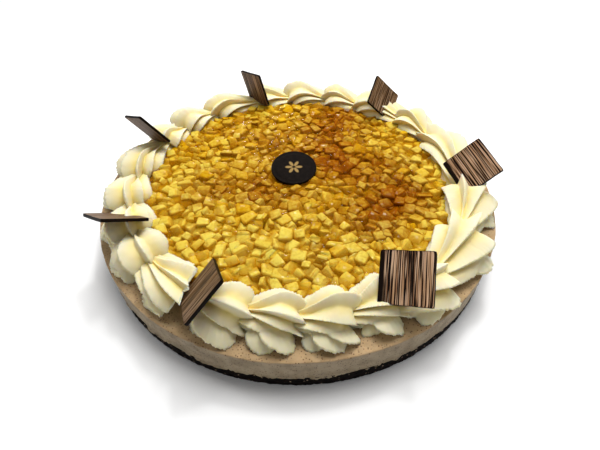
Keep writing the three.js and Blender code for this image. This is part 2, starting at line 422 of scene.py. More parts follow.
@dataclass(frozen=True)
class CinnamonMousse(Finish):
    """Set mousse with ground cinnamon, cut by a cake ring: pinkish beige and pricked with
    spice on top, darker and greyer on its side, which is drawn smooth with small pits where the ring slid up
    it."""

    name: str = "cinnamon_mousse_set"
    top: str = "b89c76"
    top_dark: str = "a28864"
    side: str = "9c8b70"
    side_dark: str = "85755c"
    speck: str = "4c2c18"
    speck_mm: float = 1.35
    cloud_mm: float = 7.0
    pore_mm: float = 0.9

    def build(self) -> bpy.types.Material:
        """Build the material: top or side by the painted wall value, then specks, and pores as a bump.

        Returns:
            The material.
        """
        coat, tree, where = self.start()
        wall = add_node(tree, "ShaderNodeAttribute", {"attribute_name": "wall"}).outputs["Fac"]
        mottle = add_node(
            tree, "ShaderNodeTexNoise", {}, {"Vector": where, "Scale": fineness(self.cloud_mm), "Detail": 5.0}
        ).outputs["Fac"]
        stops = [(0.35, self.top_dark), (0.62, self.top)]
        top = add_node(tree, "ShaderNodeValToRGB", {"stops": stops}, {"Fac": mottle}).outputs["Color"]
        stops = [(0.36, self.side_dark), (0.6, self.side)]
        side = add_node(tree, "ShaderNodeValToRGB", {"stops": stops}, {"Fac": mottle}).outputs["Color"]
        ground = add_node(tree, "ShaderNodeMix", {"data_type": "RGBA"}, {0: wall, 6: top, 7: side}).outputs[2]
        dots = self.specks(
            tree, where, self.speck_mm, [(0.16, 1.0), (0.36, 0.0)], [(0.5, 0.8), (0.85, 0.0)]
        )
        spiced = add_node(
            tree, "ShaderNodeMix", {"data_type": "RGBA"}, {0: dots, 6: ground, 7: linear(self.speck)}
        ).outputs[2]
        pores = add_node(
            tree,
            "ShaderNodeTexNoise",
            {},
            {"Vector": where, "Scale": fineness(self.pore_mm), "Detail": 5.0, "Roughness": 0.7},
        ).outputs["Fac"]
        height = add_node(
            tree, "ShaderNodeMath", {"operation": "MULTIPLY_ADD"}, {0: dots, 1: -0.8, 2: pores}
        ).outputs[0]
        lift = add_node(
            tree, "ShaderNodeBump", {}, {"Strength": 0.5, "Distance": 0.3 * MM, "Height": height}
        ).outputs["Normal"]
        feeds = {
            "Base Color": spiced,
            "Roughness": 0.62,
            "IOR": 1.42,
            "Specular IOR Level": 0.35,
            "Subsurface Weight": 0.35,
            "Subsurface Radius": (1.0, 0.6, 0.3),
            "Subsurface Scale": 0.0015,
            "Normal": lift,
        }
        return self.close(coat, tree, feeds)


@dataclass(frozen=True)
class CocoaCrumb(Finish):
    """Pressed cocoa biscuit crumb: near black, dry and open, with a few tan grains that catch light."""

    name: str = "cocoa_crumb_pressed"
    dark: str = "060404"
    brown: str = "1c120d"
    grain: str = "b09a80"
    crumb_mm: float = 1.9

    def build(self) -> bpy.types.Material:
        """Build the material: two browns by noise, and tan grains from a few chosen cells.

        Returns:
            The material.
        """
        coat, tree, where = self.start()
        clods = add_node(
            tree,
            "ShaderNodeTexNoise",
            {},
            {"Vector": where, "Scale": fineness(2.0 * self.crumb_mm), "Detail": 6.0, "Roughness": 0.7},
        ).outputs["Fac"]
        stops = [(0.42, self.dark), (0.66, self.brown)]
        ground = add_node(tree, "ShaderNodeValToRGB", {"stops": stops}, {"Fac": clods}).outputs["Color"]
        dots = self.specks(
            tree, where, self.crumb_mm, [(0.18, 1.0), (0.34, 0.0)], [(0.78, 0.0), (0.88, 0.9)]
        )
        mixed = add_node(
            tree, "ShaderNodeMix", {"data_type": "RGBA"}, {0: dots, 6: ground, 7: linear(self.grain)}
        ).outputs[2]
        lift = add_node(
            tree, "ShaderNodeBump", {}, {"Strength": 0.9, "Distance": 0.5 * MM, "Height": clods}
        ).outputs["Normal"]
        feeds = {
            "Base Color": mixed,
            "Roughness": 0.9,
            "IOR": 1.45,
            "Specular IOR Level": 0.08,
            "Normal": lift,
        }
        return self.close(coat, tree, feeds)


@dataclass(frozen=True)
class AppleFlesh(Finish):
    """Stewed apple in clear glaze: pale yellow flesh on top, amber lower down, partly for the glaze pooled
    there and partly as painted shade between the dice and on each die's edges, brown where cinnamon has
    settled; a wet coat gives small clear highlights."""

    name: str = "apple_glazed"
    pale: str = "d4c152"
    ripe: str = "c49600"
    spiced: str = "884800"
    # amber of pooled glaze and of painted shade, low on each die and along its edges
    deep: str = "c48800"
    crumb: str = "6e3f14"
    fibre_mm: float = 2.2
    speck_mm: float = 2.6

    def build(self) -> bpy.types.Material:
        """Build the material: tint by the painted ripeness, amber by the painted depth, which is partly
        pooled glaze and partly painted shade, then spice and specks.

        Returns:
            The material.
        """
        coat, tree, where = self.start()
        tint = add_node(tree, "ShaderNodeAttribute", {"attribute_name": "ripeness"}).outputs["Fac"]
        spice = add_node(tree, "ShaderNodeAttribute", {"attribute_name": "cinnamon"}).outputs["Fac"]
        sunk = add_node(tree, "ShaderNodeAttribute", {"attribute_name": "sunk"}).outputs["Fac"]
        fibre = add_node(
            tree,
            "ShaderNodeTexNoise",
            {},
            {"Vector": where, "Scale": fineness(self.fibre_mm), "Detail": 4.0, "Roughness": 0.6},
        ).outputs["Fac"]
        mottled = add_node(
            tree, "ShaderNodeMath", {"operation": "MULTIPLY_ADD"}, {0: fibre, 1: 0.8, 2: -0.4}
        ).outputs[0]
        tone = add_node(
            tree, "ShaderNodeMath", {"operation": "ADD", "use_clamp": True}, {0: tint, 1: mottled}
        ).outputs[0]
        flesh = add_node(
            tree,
            "ShaderNodeMix",
            {"data_type": "RGBA"},
            {0: tone, 6: linear(self.pale), 7: linear(self.ripe)},
        ).outputs[2]
        dusk = add_node(tree, "ShaderNodeMath", {"operation": "ADD"}, {0: spice, 1: mottled}).outputs[0]
        veil = add_node(
            tree, "ShaderNodeMath", {"operation": "MULTIPLY", "use_clamp": True}, {0: dusk, 1: 1.4}
        ).outputs[0]
        # painted shade: the depth value turns the flesh amber between the dice and on each die's edges,
        # partly for pooled glaze
        soaked = add_node(
            tree, "ShaderNodeMix", {"data_type": "RGBA"}, {0: sunk, 6: flesh, 7: linear(self.deep)}
        ).outputs[2]
        spiced = add_node(
            tree, "ShaderNodeMix", {"data_type": "RGBA"}, {0: veil, 6: soaked, 7: linear(self.spiced)}
        ).outputs[2]
        dots = self.specks(
            tree, where, self.speck_mm, [(0.07, 1.0), (0.16, 0.0)], [(0.30, 0.8), (0.5, 0.0)], "Green"
        )
        dotted = add_node(
            tree, "ShaderNodeMix", {"data_type": "RGBA"}, {0: dots, 6: spiced, 7: linear(self.crumb)}
        ).outputs[2]
        lift = add_node(
            tree, "ShaderNodeBump", {}, {"Strength": 0.25, "Distance": 0.3 * MM, "Height": fibre}
        ).outputs["Normal"]
        feeds = {
            "Base Color": dotted,
            "Roughness": 0.45,
            "IOR": 1.38,
            "Specular IOR Level": 0.0,
            "Subsurface Weight": 0.6,
            "Subsurface Radius": (1.0, 0.85, 0.5),
            "Subsurface Scale": 0.0016,
            "Coat Weight": 0.4,
            "Coat Roughness": 0.1,
            "Coat IOR": 1.38,
            "Coat Normal": lift,
            "Normal": lift,
        }
        return self.close(coat, tree, feeds)


@dataclass(frozen=True)
class AppleGlaze(Finish):
    """Set apple jelly between the dice: amber, darker away from the dice, partly as thick jelly and partly as
    painted shade in the crevices, thin enough over the dice for them to show through, and wet."""

    name: str = "apple_jelly_set"
    clear: str = "b8800a"
    deep: str = "a46a04"
    fruit: str = "c4920c"
    spiced: str = "7e3e00"
    swirl_mm: float = 5.0

    def build(self) -> bpy.types.Material:
        """Build the material: amber by noise and by painted thickness, which also carries painted shade in
        the crevices, the colour of fruit over the lower dice, browner where cinnamon is painted, and seen
        through as far as its cover is painted thin.

        Returns:
            The material.
        """
        coat, tree, where = self.start()
        spice = add_node(tree, "ShaderNodeAttribute", {"attribute_name": "cinnamon"}).outputs["Fac"]
        swirl = add_node(
            tree, "ShaderNodeTexNoise", {}, {"Vector": where, "Scale": fineness(self.swirl_mm), "Detail": 5.0}
        ).outputs["Fac"]
        stops = [(0.35, self.deep), (0.65, self.clear)]
        amber = add_node(tree, "ShaderNodeValToRGB", {"stops": stops}, {"Fac": swirl}).outputs["Color"]
        thick_and_shaded = add_node(tree, "ShaderNodeAttribute", {"attribute_name": "thickness"}).outputs["Fac"]
        seen = add_node(tree, "ShaderNodeAttribute", {"attribute_name": "fruit_below"}).outputs["Fac"]
        # painted shade: deeper amber in the crevices between the dice, where the jelly is also thick
        darker = add_node(
            tree, "ShaderNodeMix", {"data_type": "RGBA"}, {0: thick_and_shaded, 6: amber, 7: linear(self.deep)}
        ).outputs[2]
        lighter = add_node(
            tree, "ShaderNodeMix", {"data_type": "RGBA"}, {0: seen, 6: darker, 7: linear(self.fruit)}
        ).outputs[2]
        mixed = add_node(
            tree, "ShaderNodeMix", {"data_type": "RGBA"}, {0: spice, 6: lighter, 7: linear(self.spiced)}
        ).outputs[2]
        lift = add_node(
            tree, "ShaderNodeBump", {}, {"Strength": 0.4, "Distance": 0.5 * MM, "Height": swirl}
        ).outputs["Normal"]
        cover = add_node(tree, "ShaderNodeAttribute", {"attribute_name": "cover"}).outputs["Fac"]
        feeds = {
            "Base Color": mixed,
            "Alpha": cover,
            "Roughness": 0.4,
            "IOR": 1.38,
            "Specular IOR Level": 0.0,
            "Subsurface Weight": 0.4,
            "Subsurface Radius": (1.0, 0.7, 0.3),
            "Subsurface Scale": 0.002,
            "Coat Weight": 0.4,
            "Coat Roughness": 0.06,
            "Coat IOR": 1.36,
            "Normal": lift,
        }
        return self.close(coat, tree, feeds)


class Face(Enum):
    """How strongly the pale stripes show on a square."""

    BRIGHT = 1.0
    SOFT = 0.45
    DIM = 0.3


@dataclass(frozen=True)
class StripedChocolate(Finish):
    """Dark chocolate with uneven milk-brown stripes spread over it by a comb, then cut:
    satin on the face, plain dark on the cut edges."""

    name: str = "striped_chocolate_combed"
    dark: str = "140b07"
    milk: str = "90684a"
    brown: str = "5a3c2a"
    pale: str = "b08a66"
    line: str = "d8b494"
    faint: tuple[str, ...] = ("24170a", "453016", "684a22", "53391c")
    stripes: float = 17.0
    waves: float = 20.0 / TAU  # bands that a wave of scale 1 makes in one unit
    drawn_out: float = 0.018  # so little along the stripes that they run straight

    def build(self) -> bpy.types.Material:
        """Build the material: waves and noise read almost only across the stripes, cut into bands with fine
        pale lines and dark cracks in them; faint bands by how dim the face is painted; dark on the rim.

        Returns:
            The material.
        """
        coat, tree, _ = self.start()
        uv = add_node(tree, "ShaderNodeUVMap", {"uv_map": "UVMap"}).outputs["UV"]
        bright = add_node(tree, "ShaderNodeAttribute", {"attribute_name": "brightness"}).outputs["Fac"]
        edge = add_node(tree, "ShaderNodeAttribute", {"attribute_name": "rim"}).outputs["Fac"]
        stretched = add_node(
            tree, "ShaderNodeMapping", {}, {"Vector": uv, "Scale": (1.0, self.drawn_out, 1.0)}
        ).outputs["Vector"]
        bands = add_node(
            tree,
            "ShaderNodeTexWave",
            {"wave_type": "BANDS", "bands_direction": "X"},
            {
                "Vector": stretched,
                "Scale": self.stripes / self.waves,
                "Distortion": 5.0,
                "Detail": 3.0,
                "Detail Scale": 5.0,
                "Detail Roughness": 0.6,
            },
        ).outputs["Fac"]
        wide = add_node(
            tree, "ShaderNodeTexNoise", {}, {"Vector": stretched, "Scale": 9.0, "Detail": 2.0}
        ).outputs["Fac"]
        uneven = add_node(
            tree, "ShaderNodeMath", {"operation": "MULTIPLY_ADD"}, {0: wide, 1: 2.2, 2: -1.1}
        ).outputs[0]
        value = add_node(
            tree, "ShaderNodeMath", {"operation": "ADD", "use_clamp": True}, {0: bands, 1: uneven}
        ).outputs[0]
        stops = [
            (0.55, self.dark),
            (0.60, self.brown),
            (0.66, self.milk),
            (0.85, self.milk),
            (1.0, self.pale),
        ]
        lines = add_node(tree, "ShaderNodeValToRGB", {"stops": stops}, {"Fac": value}).outputs["Color"]
        stops = list(zip((0.12, 0.3, 0.75, 1.0), self.faint))
        plain = add_node(tree, "ShaderNodeValToRGB", {"stops": stops}, {"Fac": value}).outputs["Color"]
        fine = add_node(
            tree, "ShaderNodeTexNoise", {}, {"Vector": stretched, "Scale": 48.0, "Detail": 1.0}
        ).outputs["Fac"]
        stops = [(0.55, 0.0), (0.62, 0.85)]
        scored = add_node(tree, "ShaderNodeValToRGB", {"stops": stops}, {"Fac": fine}).outputs["Color"]
        stops = [(0.40, 0.95), (0.46, 0.0)]
        cracks = add_node(tree, "ShaderNodeValToRGB", {"stops": stops}, {"Fac": fine}).outputs["Color"]
        lit = add_node(
            tree, "ShaderNodeMix", {"data_type": "RGBA"}, {0: scored, 6: lines, 7: linear(self.line)}
        ).outputs[2]
        cut = add_node(
            tree, "ShaderNodeMix", {"data_type": "RGBA"}, {0: cracks, 6: lit, 7: linear(self.dark)}
        ).outputs[2]
        face = add_node(
            tree, "ShaderNodeMix", {"data_type": "RGBA"}, {0: bright, 6: plain, 7: cut}
        ).outputs[2]
        rimmed = add_node(
            tree, "ShaderNodeMix", {"data_type": "RGBA"}, {0: edge, 6: face, 7: linear(self.dark)}
        ).outputs[2]
        lift = add_node(
            tree, "ShaderNodeBump", {}, {"Strength": 0.35, "Distance": 0.15 * MM, "Height": bands}
        ).outputs["Normal"]
        feeds = {
            "Base Color": rimmed,
            "Roughness": 0.5,
            "IOR": 1.46,
            "Specular IOR Level": 0.1,
            "Normal": lift,
        }
        return self.close(coat, tree, feeds)


@dataclass(frozen=True)
class DarkChocolate(Finish):
    """Tempered dark chocolate cast in a mould: almost black, satin, with a small gold rosette
    dusted on it."""

    name: str = "dark_chocolate_cast"
    dark: str = "0e0906"
    bloom: str = "17100c"
    gold: str = "937848"
    haze_mm: float = 3.0

    def build(self) -> bpy.types.Material:
        """Build the material: black with a faint bloom, and gold dust where the rosette is painted.

        Returns:
            The material.
        """
        coat, tree, where = self.start()
        dust = add_node(tree, "ShaderNodeAttribute", {"attribute_name": "gold"}).outputs["Fac"]
        haze = add_node(
            tree, "ShaderNodeTexNoise", {}, {"Vector": where, "Scale": fineness(self.haze_mm), "Detail": 4.0}
        ).outputs["Fac"]
        ground = add_node(
            tree, "ShaderNodeValToRGB", {"stops": [(0.4, self.dark), (0.7, self.bloom)]}, {"Fac": haze}
        ).outputs["Color"]
        mixed = add_node(
            tree, "ShaderNodeMix", {"data_type": "RGBA"}, {0: dust, 6: ground, 7: linear(self.gold)}
        ).outputs[2]
        feeds = {"Base Color": mixed, "Roughness": 0.5, "IOR": 1.46, "Specular IOR Level": 0.06}
        return self.close(coat, tree, feeds)


@dataclass(frozen=True)
class PaleSweep(Finish):
    """White painted board: an even matt floor."""

    name: str = "white_board_painted"
    white: str = "fbfbfb"
    bright: str = "fdfdfd"

    def build(self) -> bpy.types.Material:
        """Build the material: white with a variation too small to notice.

        Returns:
            The material.
        """
        coat, tree, where = self.start()
        soft = add_node(tree, "ShaderNodeTexNoise", {}, {"Vector": where, "Scale": 3.0}).outputs["Fac"]
        tone = add_node(
            tree, "ShaderNodeValToRGB", {"stops": [(0.3, self.white), (0.7, self.bright)]}, {"Fac": soft}
        ).outputs["Color"]
        return self.close(coat, tree, {"Base Color": tone, "Roughness": 0.9, "Specular IOR Level": 0.1})


# ---------------------------------------------------------------- crumb base and mousse


@dataclass
class Base:
    """The pressed crumb under the mousse."""

    radius: float = 140.2
    height: float = 9.2
    relief: float = 0.32
    around: int = 1080
    side_rows: int = 12

    def skin(self) -> Skin:
        """Work out the slab.

        A profile of radius and height is carried round the axis; on its wall, and a little in from it,
        noise of 2 mm and finer pushes each point in or out, and noise of 3 mm moves it up or down.

        Returns:
            Its closed skin.
        """
        inner = np.linspace(0.0, 1.0, 9)[1:]
        bottom = [(self.radius * t * 0.985, 0.0) for t in inner]
        wall = [(self.radius, z) for z in np.linspace(0.4, self.height, self.side_rows)]
        top = [(self.radius * t * 0.985, self.height) for t in inner[::-1]]
        profile = np.array(bottom + wall + top)
        turn, radius, height = carried_round(profile, self.around)
        where = polar(radius, turn, height)
        rough = cloud(where, 2.0, 14, 3)
        share = ease(self.radius * 0.9, self.radius * 0.99, radius)
        radius = radius + self.relief * (rough - 0.4) * share
        lifted = np.where(height > 0.01, height + 0.25 * share * cloud(where, 3.0, 12, 2), height)
        height = np.clip(lifted, 0.0, self.height + 0.3)
        rows = polar(radius, turn, height)
        points = np.concatenate([[[0.0, 0.0, 0.0]], rows.reshape(-1, 3), [[0.0, 0.0, self.height]]])
        return Skin(points, closed_grid(self.around, len(profile)), flip=True)

    def make(self) -> None:
        """Build the base and dress it in crumb."""
        place(self.skin().build("crumb_slab"), CocoaCrumb().build(), "cocoa_crumb", "chocolate_base")


@dataclass
class Mousse:
    """The mousse layer, with a crisp upper rim and a torn lower lip."""

    radius: float = 140.0
    foot: float = 8.5
    top: float = 26.6
    softening: float = 0.7
    around: int = 1080
    side_rows: int = 26

    def skin(self) -> Skin:
        """Work out the layer.

        A profile of radius and share of the height runs under the layer, up its wall and over the top. The
        wall stands on a ragged line, noise of 5 and 17 mm along the rim, and leans out as a thin lip where
        that hangs low; it waves by a few tenths, pits of 2.4 mm sink into it, and noise of 6 mm moves the
        top up or down.

        Returns:
            Its closed skin, with the wall painted.
        """
        inner = np.linspace(0.0, 1.0, 8)[1:]
        bend = np.linspace(0.0, math.pi / 2.0, 5)
        soft, deep = self.softening, self.top - self.foot
        under = [(self.radius * t * 0.97, 0.0) for t in inner]
        climb = np.linspace(0.0, 1.0, self.side_rows)[:-1] ** 1.25
        wall = [(self.radius, h * (1.0 - soft / deep)) for h in climb]
        corner = [
            (self.radius - soft + soft * math.cos(b), 1.0 + (soft * (math.sin(b) - 1.0)) / deep)
            for b in bend
        ]
        over = [(self.radius * t * 0.985, 1.0) for t in np.linspace(0.0, 1.0, 22)[1:][::-1]]
        profile = np.array(under + wall + corner + over)
        turn, radius, share = carried_round(profile, self.around)
        rim = np.stack([np.cos(turn), np.sin(turn), np.zeros_like(turn)], -1) * self.radius
        ragged = 0.9 * cloud(rim, 5.0, 21, 3) + 0.5 * cloud(rim, 17.0, 22, 1)
        low = self.foot + ragged
        height = low + (self.top - low) * share
        onwall = ease(self.radius * 0.985, self.radius * 0.995, radius)
        where = polar(radius, turn, height)
        lip = np.clip(-ragged, 0.0, 1.0) * np.exp(-((height - low) / 1.3) ** 2)
        wave = 0.35 * cloud(where * [1, 1, 0.4], 22.0, 23, 2) + 0.12 * cloud(where, 2.2, 24, 2)
        pits = np.clip(cloud(where, 2.4, 25, 1) - 0.62, 0.0, 1.0) * 1.6
        radius = radius + onwall * (wave + 0.8 * lip - pits)
        flat = ease(0.9, 0.99, share) * (1.0 - onwall)
        height = height + flat * 0.18 * cloud(where, 6.0, 26, 3)
        rows = polar(radius, turn, height)
        points = np.concatenate([[[0.0, 0.0, self.foot]], rows.reshape(-1, 3), [[0.0, 0.0, self.top]]])
        painted = np.concatenate([[1.0], (onwall * (1.0 - ease(0.965, 0.99, share))).ravel(), [0.0]])
        return Skin(points, closed_grid(self.around, len(profile)), {"wall": painted}, flip=True)

    def make(self) -> None:
        """Build the layer and dress it."""
        place(self.skin().build("mousse_layer"), CinnamonMousse().build(), "mousse", "cinnamon_mousse")


# ---------------------------------------------------------------- where the squares stand


@dataclass(frozen=True)
class Square:
    """Where a chocolate square stands: on the ring, its height, its turns, and its face."""

    angle: float
    radius: float
    height: float
    turn: float
    lean: float
    roll: float
    face: Face
    across: bool = False


SQUARES = (
    Square(-62.7, 120.7, 52.6, -98.4, 32.4, -68.8, Face.BRIGHT, True),
    Square(-6.3, 120.1, 50.5, -67.5, 16.5, -43.0, Face.BRIGHT, True),
    Square(49.8, 116.6, 46.9, 1.2, 42.2, -56.8, Face.SOFT),
    Square(108.7, 114.5, 48.5, -50.7, -10.3, 9.0, Face.SOFT),
    Square(161.0, 121.9, 51.1, -44.0, -19.8, 27.9, Face.DIM),
    Square(205.7, 124.3, 47.6, 141.2, 22.4, -57.0, Face.SOFT),
    Square(245.3, 121.5, 49.3, 110.9, 25.1, 52.5, Face.SOFT),
)


# ---------------------------------------------------------------- piped cream


@dataclass(frozen=True)
class Petal:
    """A wide skirt of cream squeezed out over the mousse at a shell's outer foot: its way, half angle,
    reach, height and how much it leans to one side."""

    way: float
    spread: float
    reach: float
    height: float
    skew: float


@dataclass(frozen=True)
class Shell:
    """One piped shell: where it lies and how its nozzle ribs came out. Pressed is the place in SQUARES
    of the square that its head meets, or -1."""

    number: int
    angle: float
    half: float
    width: float
    rise: float
    turn: float
    shift: float
    pressed: int
    depth: float
    tips: float
    twist: float
    lean: float
    ribs: int
    outer: float
    petals: tuple[Petal, ...]


@dataclass
class CreamRing:
    """The border of piped shells."""

    seat: float = 26.6
    ring: float = 121.8
    inward: float = 4.4
    half_width: float = 14.8
    front: tuple[int, int] = (1, 5)
    front_outer: float = 13.6
    side_outer: float = 19.6
    right: tuple[int, int] = (5, 9)
    right_outer: float = 22.0
    belly: float = 8.2
    rise: float = 13.4
    foot: float = 0.8
    overlap: float = 3.0
    overhang: float = 2.6
    furthest: float = 70.0
    halvings: int = 20
    heart: tuple[float, float] = (0.1, 6.0)
    pole: tuple[float, float] = (-1.4, 4.5)
    finish: tuple[float, float] = (0.42, 0.0)
    least_half: float = 17.0
    origin: float = -0.72
    tail: float = 0.1
    tail_width: float = 0.7
    tail_reach: float = 1.45
    petal_root: float = 0.1
    petal_way: float = -78.0
    petal_outer: float = 18.6
    ribs: int = 14
    columns: int = 308
    trough: float = 0.34
    rows: int = 100
    tooth_mm: float = 2.0
    # Degrees round the ring at which one shell ends and the next starts.
    ends: tuple[float, ...] = (
        222.1, 244.0, 256.3, 270.1, 284.1, 297.5, 312.5, 335.2, 355.0, 387.0, 400.0,
        422.0, 437.0, 454.0, 471.0, 491.0, 506.0, 520.0, 539.7, 555.2, 569.4, 582.1,
    )  # fmt: skip
    # The shells whose heads meet a square, and how far short of a square's middle they stop.
    pressed: dict[int, int] = field(default_factory=lambda: {0: 6, 13: 3, 16: 4, 18: 5})
    gaps: dict[int, float] = field(default_factory=lambda: {6: 3.2, 3: 1.8, 4: 1.7, 5: 1.7})
    # The shells with another number of ribs, and those with folds and tips of their own.
    fine: dict[int, int] = field(default_factory=lambda: {0: 16, 6: 12, 7: 12, 8: 12, 19: 15, 20: 15})
    bold: dict[int, tuple[float, float]] = field(
        default_factory=lambda: {
            4: (0.34, 0.03),
            6: (0.34, 0.08),
            7: (0.34, 0.1),
            8: (0.33, 0.06),
            9: (0.26, 0.0),
            10: (0.14, 0.0),
        }
    )

    def shells(self) -> list[Shell]:
        """Lay the shells out round the ring.

        The small differences of width, rise, turn and shift come from one linear congruence,
        1664525 n + 1013904223 modulo 2^32, as in the solids.

        Returns:
            The shells in their order round the ring.
        """
        state = 21
        laid = []
        for i in range(len(self.ends) - 1):
            draws = []
            for _ in range(4):
                state = (state * 1664525 + 1013904223) & 0xFFFFFFFF
                draws.append(state / 4294967296.0)
            start, end = math.radians(self.ends[i]), math.radians(self.ends[i + 1])
            half = max((end - start) * self.ring / (1.0 - self.origin), self.least_half)
            ribs = self.fine.get(i, self.ribs)
            depth, tips = self.bold.get(i, (0.32 + 0.06 * (draws[1] - 0.5), 0.02 * draws[0]))
            at_front = self.front[0] <= i < self.front[1]
            outer = self.front_outer if at_front else self.side_outer
            outer = self.right_outer if self.right[0] <= i < self.right[1] else outer
            laid.append(
                Shell(
                    number=i + 1,
                    angle=end + (1.0 - half) / self.ring,
                    half=half,
                    width=self.half_width * (0.97 + 0.06 * draws[0]),
                    rise=self.rise * (0.94 + 0.12 * draws[1]),
                    turn=draws[2] * TAU / ribs,
                    shift=(draws[3] - 0.5) * 1.6,
                    pressed=self.pressed.get(i, -1),
                    depth=depth * (self.ribs / ribs) ** 0.6,
                    tips=tips,
                    twist=-0.2 + 0.3 * draws[3],
                    lean=0.2 + 0.1 * draws[0],
                    ribs=ribs,
                    outer=outer,
                    petals=self.petals(i + 1, max(outer - self.petal_outer, 0.0)),
                )
            )
        return laid

    def petals(self, number: int, longer: float) -> tuple[Petal, ...]:
        """Choose a shell's petals: one wide skirt over its outer foot.

        Args:
            number: the shell's number, for its own differences.
            longer: how much further it reaches than on a narrow shell.

        Returns:
            The one petal.
        """
        rng = np.random.default_rng(900 + number)
        return (
            Petal(
                way=math.radians(self.petal_way) + float(rng.uniform(-0.12, 0.12)),
                spread=float(rng.uniform(1.15, 1.3)),
                reach=float(rng.uniform(20.6, 21.6)) + longer,
                height=float(rng.uniform(9.0, 10.5)),
                skew=float(rng.uniform(-0.25, 0.25)),
            ),
        )

    def body(self, shell: Shell, spot: Array) -> Array:
        """How full the plain body is at each spot: under one inside it, one on its skin.

        The powers of the distance along, across and above the widest line are summed. The head is
        blunt, the back falls away to the tail, the foot is drawn in and the top leans to the head.

        Args:
            shell: the shell.
            spot: places along, across and up from the shell's middle.

        Returns:
            The sum at each place.
        """
        z = spot[..., 2]
        y = spot[..., 1] - self.inward
        x = spot[..., 0] - self.overhang * (z / 16.0 - 0.5)
        x = np.where(x > 0.0, x / (shell.half + self.overlap), x / (shell.half * self.tail_reach))
        down = np.clip(1.0 - z / self.belly, 0.0, 1.0)
        shrink = 1.0 - (1.0 - self.foot) * down**1.5
        width = np.where(y < 0.0, shell.outer, shell.width)
        climb = np.clip((x + 0.8) / 1.1, 0.0, 1.0)
        spine = self.tail + (1.0 - self.tail) * climb**2 * (3.0 - 2.0 * climb)
        long = np.abs(x / np.sqrt(shrink)) ** np.where(x > 0.0, 2.6, 2.0)
        swell = self.tail_width + (1.0 - self.tail_width) * np.clip((x + 0.75) / 1.0, 0.0, 1.0) ** 0.8
        wide = np.abs(y / (width * shrink * swell)) ** 2.1
        high = (np.clip(z - self.belly, 0.0, None) / (shell.rise * spine)) ** 2
        return long + wide + high

    def fringe(self, shell: Shell, spot: Array) -> Array:
        """How full the petals are at each spot, as for the body.

        Each petal is a fan about the shell's root: its reach to the sixth power and its height squared
        are summed. Towards the fan's sides the height falls away as a round arch, and the reach as the
        fourth root of that arch.

        Args:
            shell: the shell.
            spot: places along, across and up from the shell's middle.

        Returns:
            The least sum of any petal at each place.
        """
        x = spot[..., 0] - self.petal_root * shell.half
        y, z = spot[..., 1] - self.inward, spot[..., 2]
        far, way = np.hypot(x, y), np.arctan2(y, x)
        least = np.full(far.shape, 9.0)
        for petal in shell.petals:
            aside = np.clip(((way - petal.way + math.pi) % TAU - math.pi) / petal.spread, -1.0, 1.0)
            arch = np.sqrt(np.clip(1.0 - np.abs(aside) ** 3.0, 1e-4, 1.0)) * (1.0 + petal.skew * aside)
            full = (far / (petal.reach * arch**0.25)) ** 6 + (z / (petal.height * arch)) ** 2
            least = np.minimum(least, full)
        return least

    def reached(self, shell: Shell, heart: Array, way: Array) -> tuple[Array, Array]:
        """How far body and petals reach from the heart each way, by halving; the mousse stops them below.

        Args:
            shell: the shell.
            heart: the point inside it.
            way: unit directions.

        Returns:
            The distances, and whether each ends on the mousse.
        """
        near, far = np.zeros(way.shape[:-1]), np.full(way.shape[:-1], self.furthest)
        for _ in range(self.halvings):
            half = 0.5 * (near + far)
            spot = heart + way * half[..., None]
            inside = np.minimum(self.body(shell, spot), self.fringe(shell, spot)) < 1.0
            near, far = np.where(inside, half, near), np.where(inside, far, half)
        drop = np.where(way[..., 2] < -1e-6, heart[2] / np.maximum(-way[..., 2], 1e-6), 1e3)
        return np.minimum(near, drop), drop <= near

    def blade(self, down: Array) -> Array:
        """Height of a blade's skin going down from one edge, at 0, to the next, at 1.

        It drops into the hollow under the edge as the power 1.7 of what is left to the trough, and from
        there climbs as the power 1.25.

        Args:
            down: share of the way down from the edge.

        Returns:
            The height, from 0 in the trough to 1 at the edges.
        """
        hollow = np.clip(1.0 - down / self.trough, 0.0, 1.0) ** 1.7
        slope = np.clip((down - self.trough) / (1.0 - self.trough), 0.0, 1.0) ** 1.25
        return hollow + slope

    def skin(self, shell: Shell) -> Skin:
        """Work out one shell.

        Longitude lines run from a low point at the tail, over the body and round the head to the spot on
        the mousse where the nozzle first stood; each is a quadratic blend of the two end directions and one
        direction round the middle, cast from the heart onto body and skirt. Each nozzle rib is a blade
        across these lines: a long upper slope, a toothed edge that droops, and a hollow under it. The
        troughs pull the skin in towards the heart, and the edges end in tips at the head.

        Args:
            shell: the shell's place and temper.

        Returns:
            Its closed skin, with fold depth painted for the folds' painted glow, and painted shade low down
            and on a pressed head.
        """
        rng = np.random.default_rng(400 + shell.number)
        per_rib = self.columns // shell.ribs
        columns = shell.ribs * per_rib
        column = np.arange(columns)
        rib, part = column // per_rib, (column % per_rib) / per_rib
        strength = rng.uniform(0.75, 1.25, shell.ribs)
        offset = rng.uniform(-0.1, 0.1, shell.ribs)
        lifts = rng.uniform(-0.05, 0.06, shell.ribs)
        mix = part * part * (3.0 - 2.0 * part)
        blend = [a[rib] * (1.0 - mix) + a[(rib + 1) % shell.ribs] * mix for a in (strength, offset, lifts)]

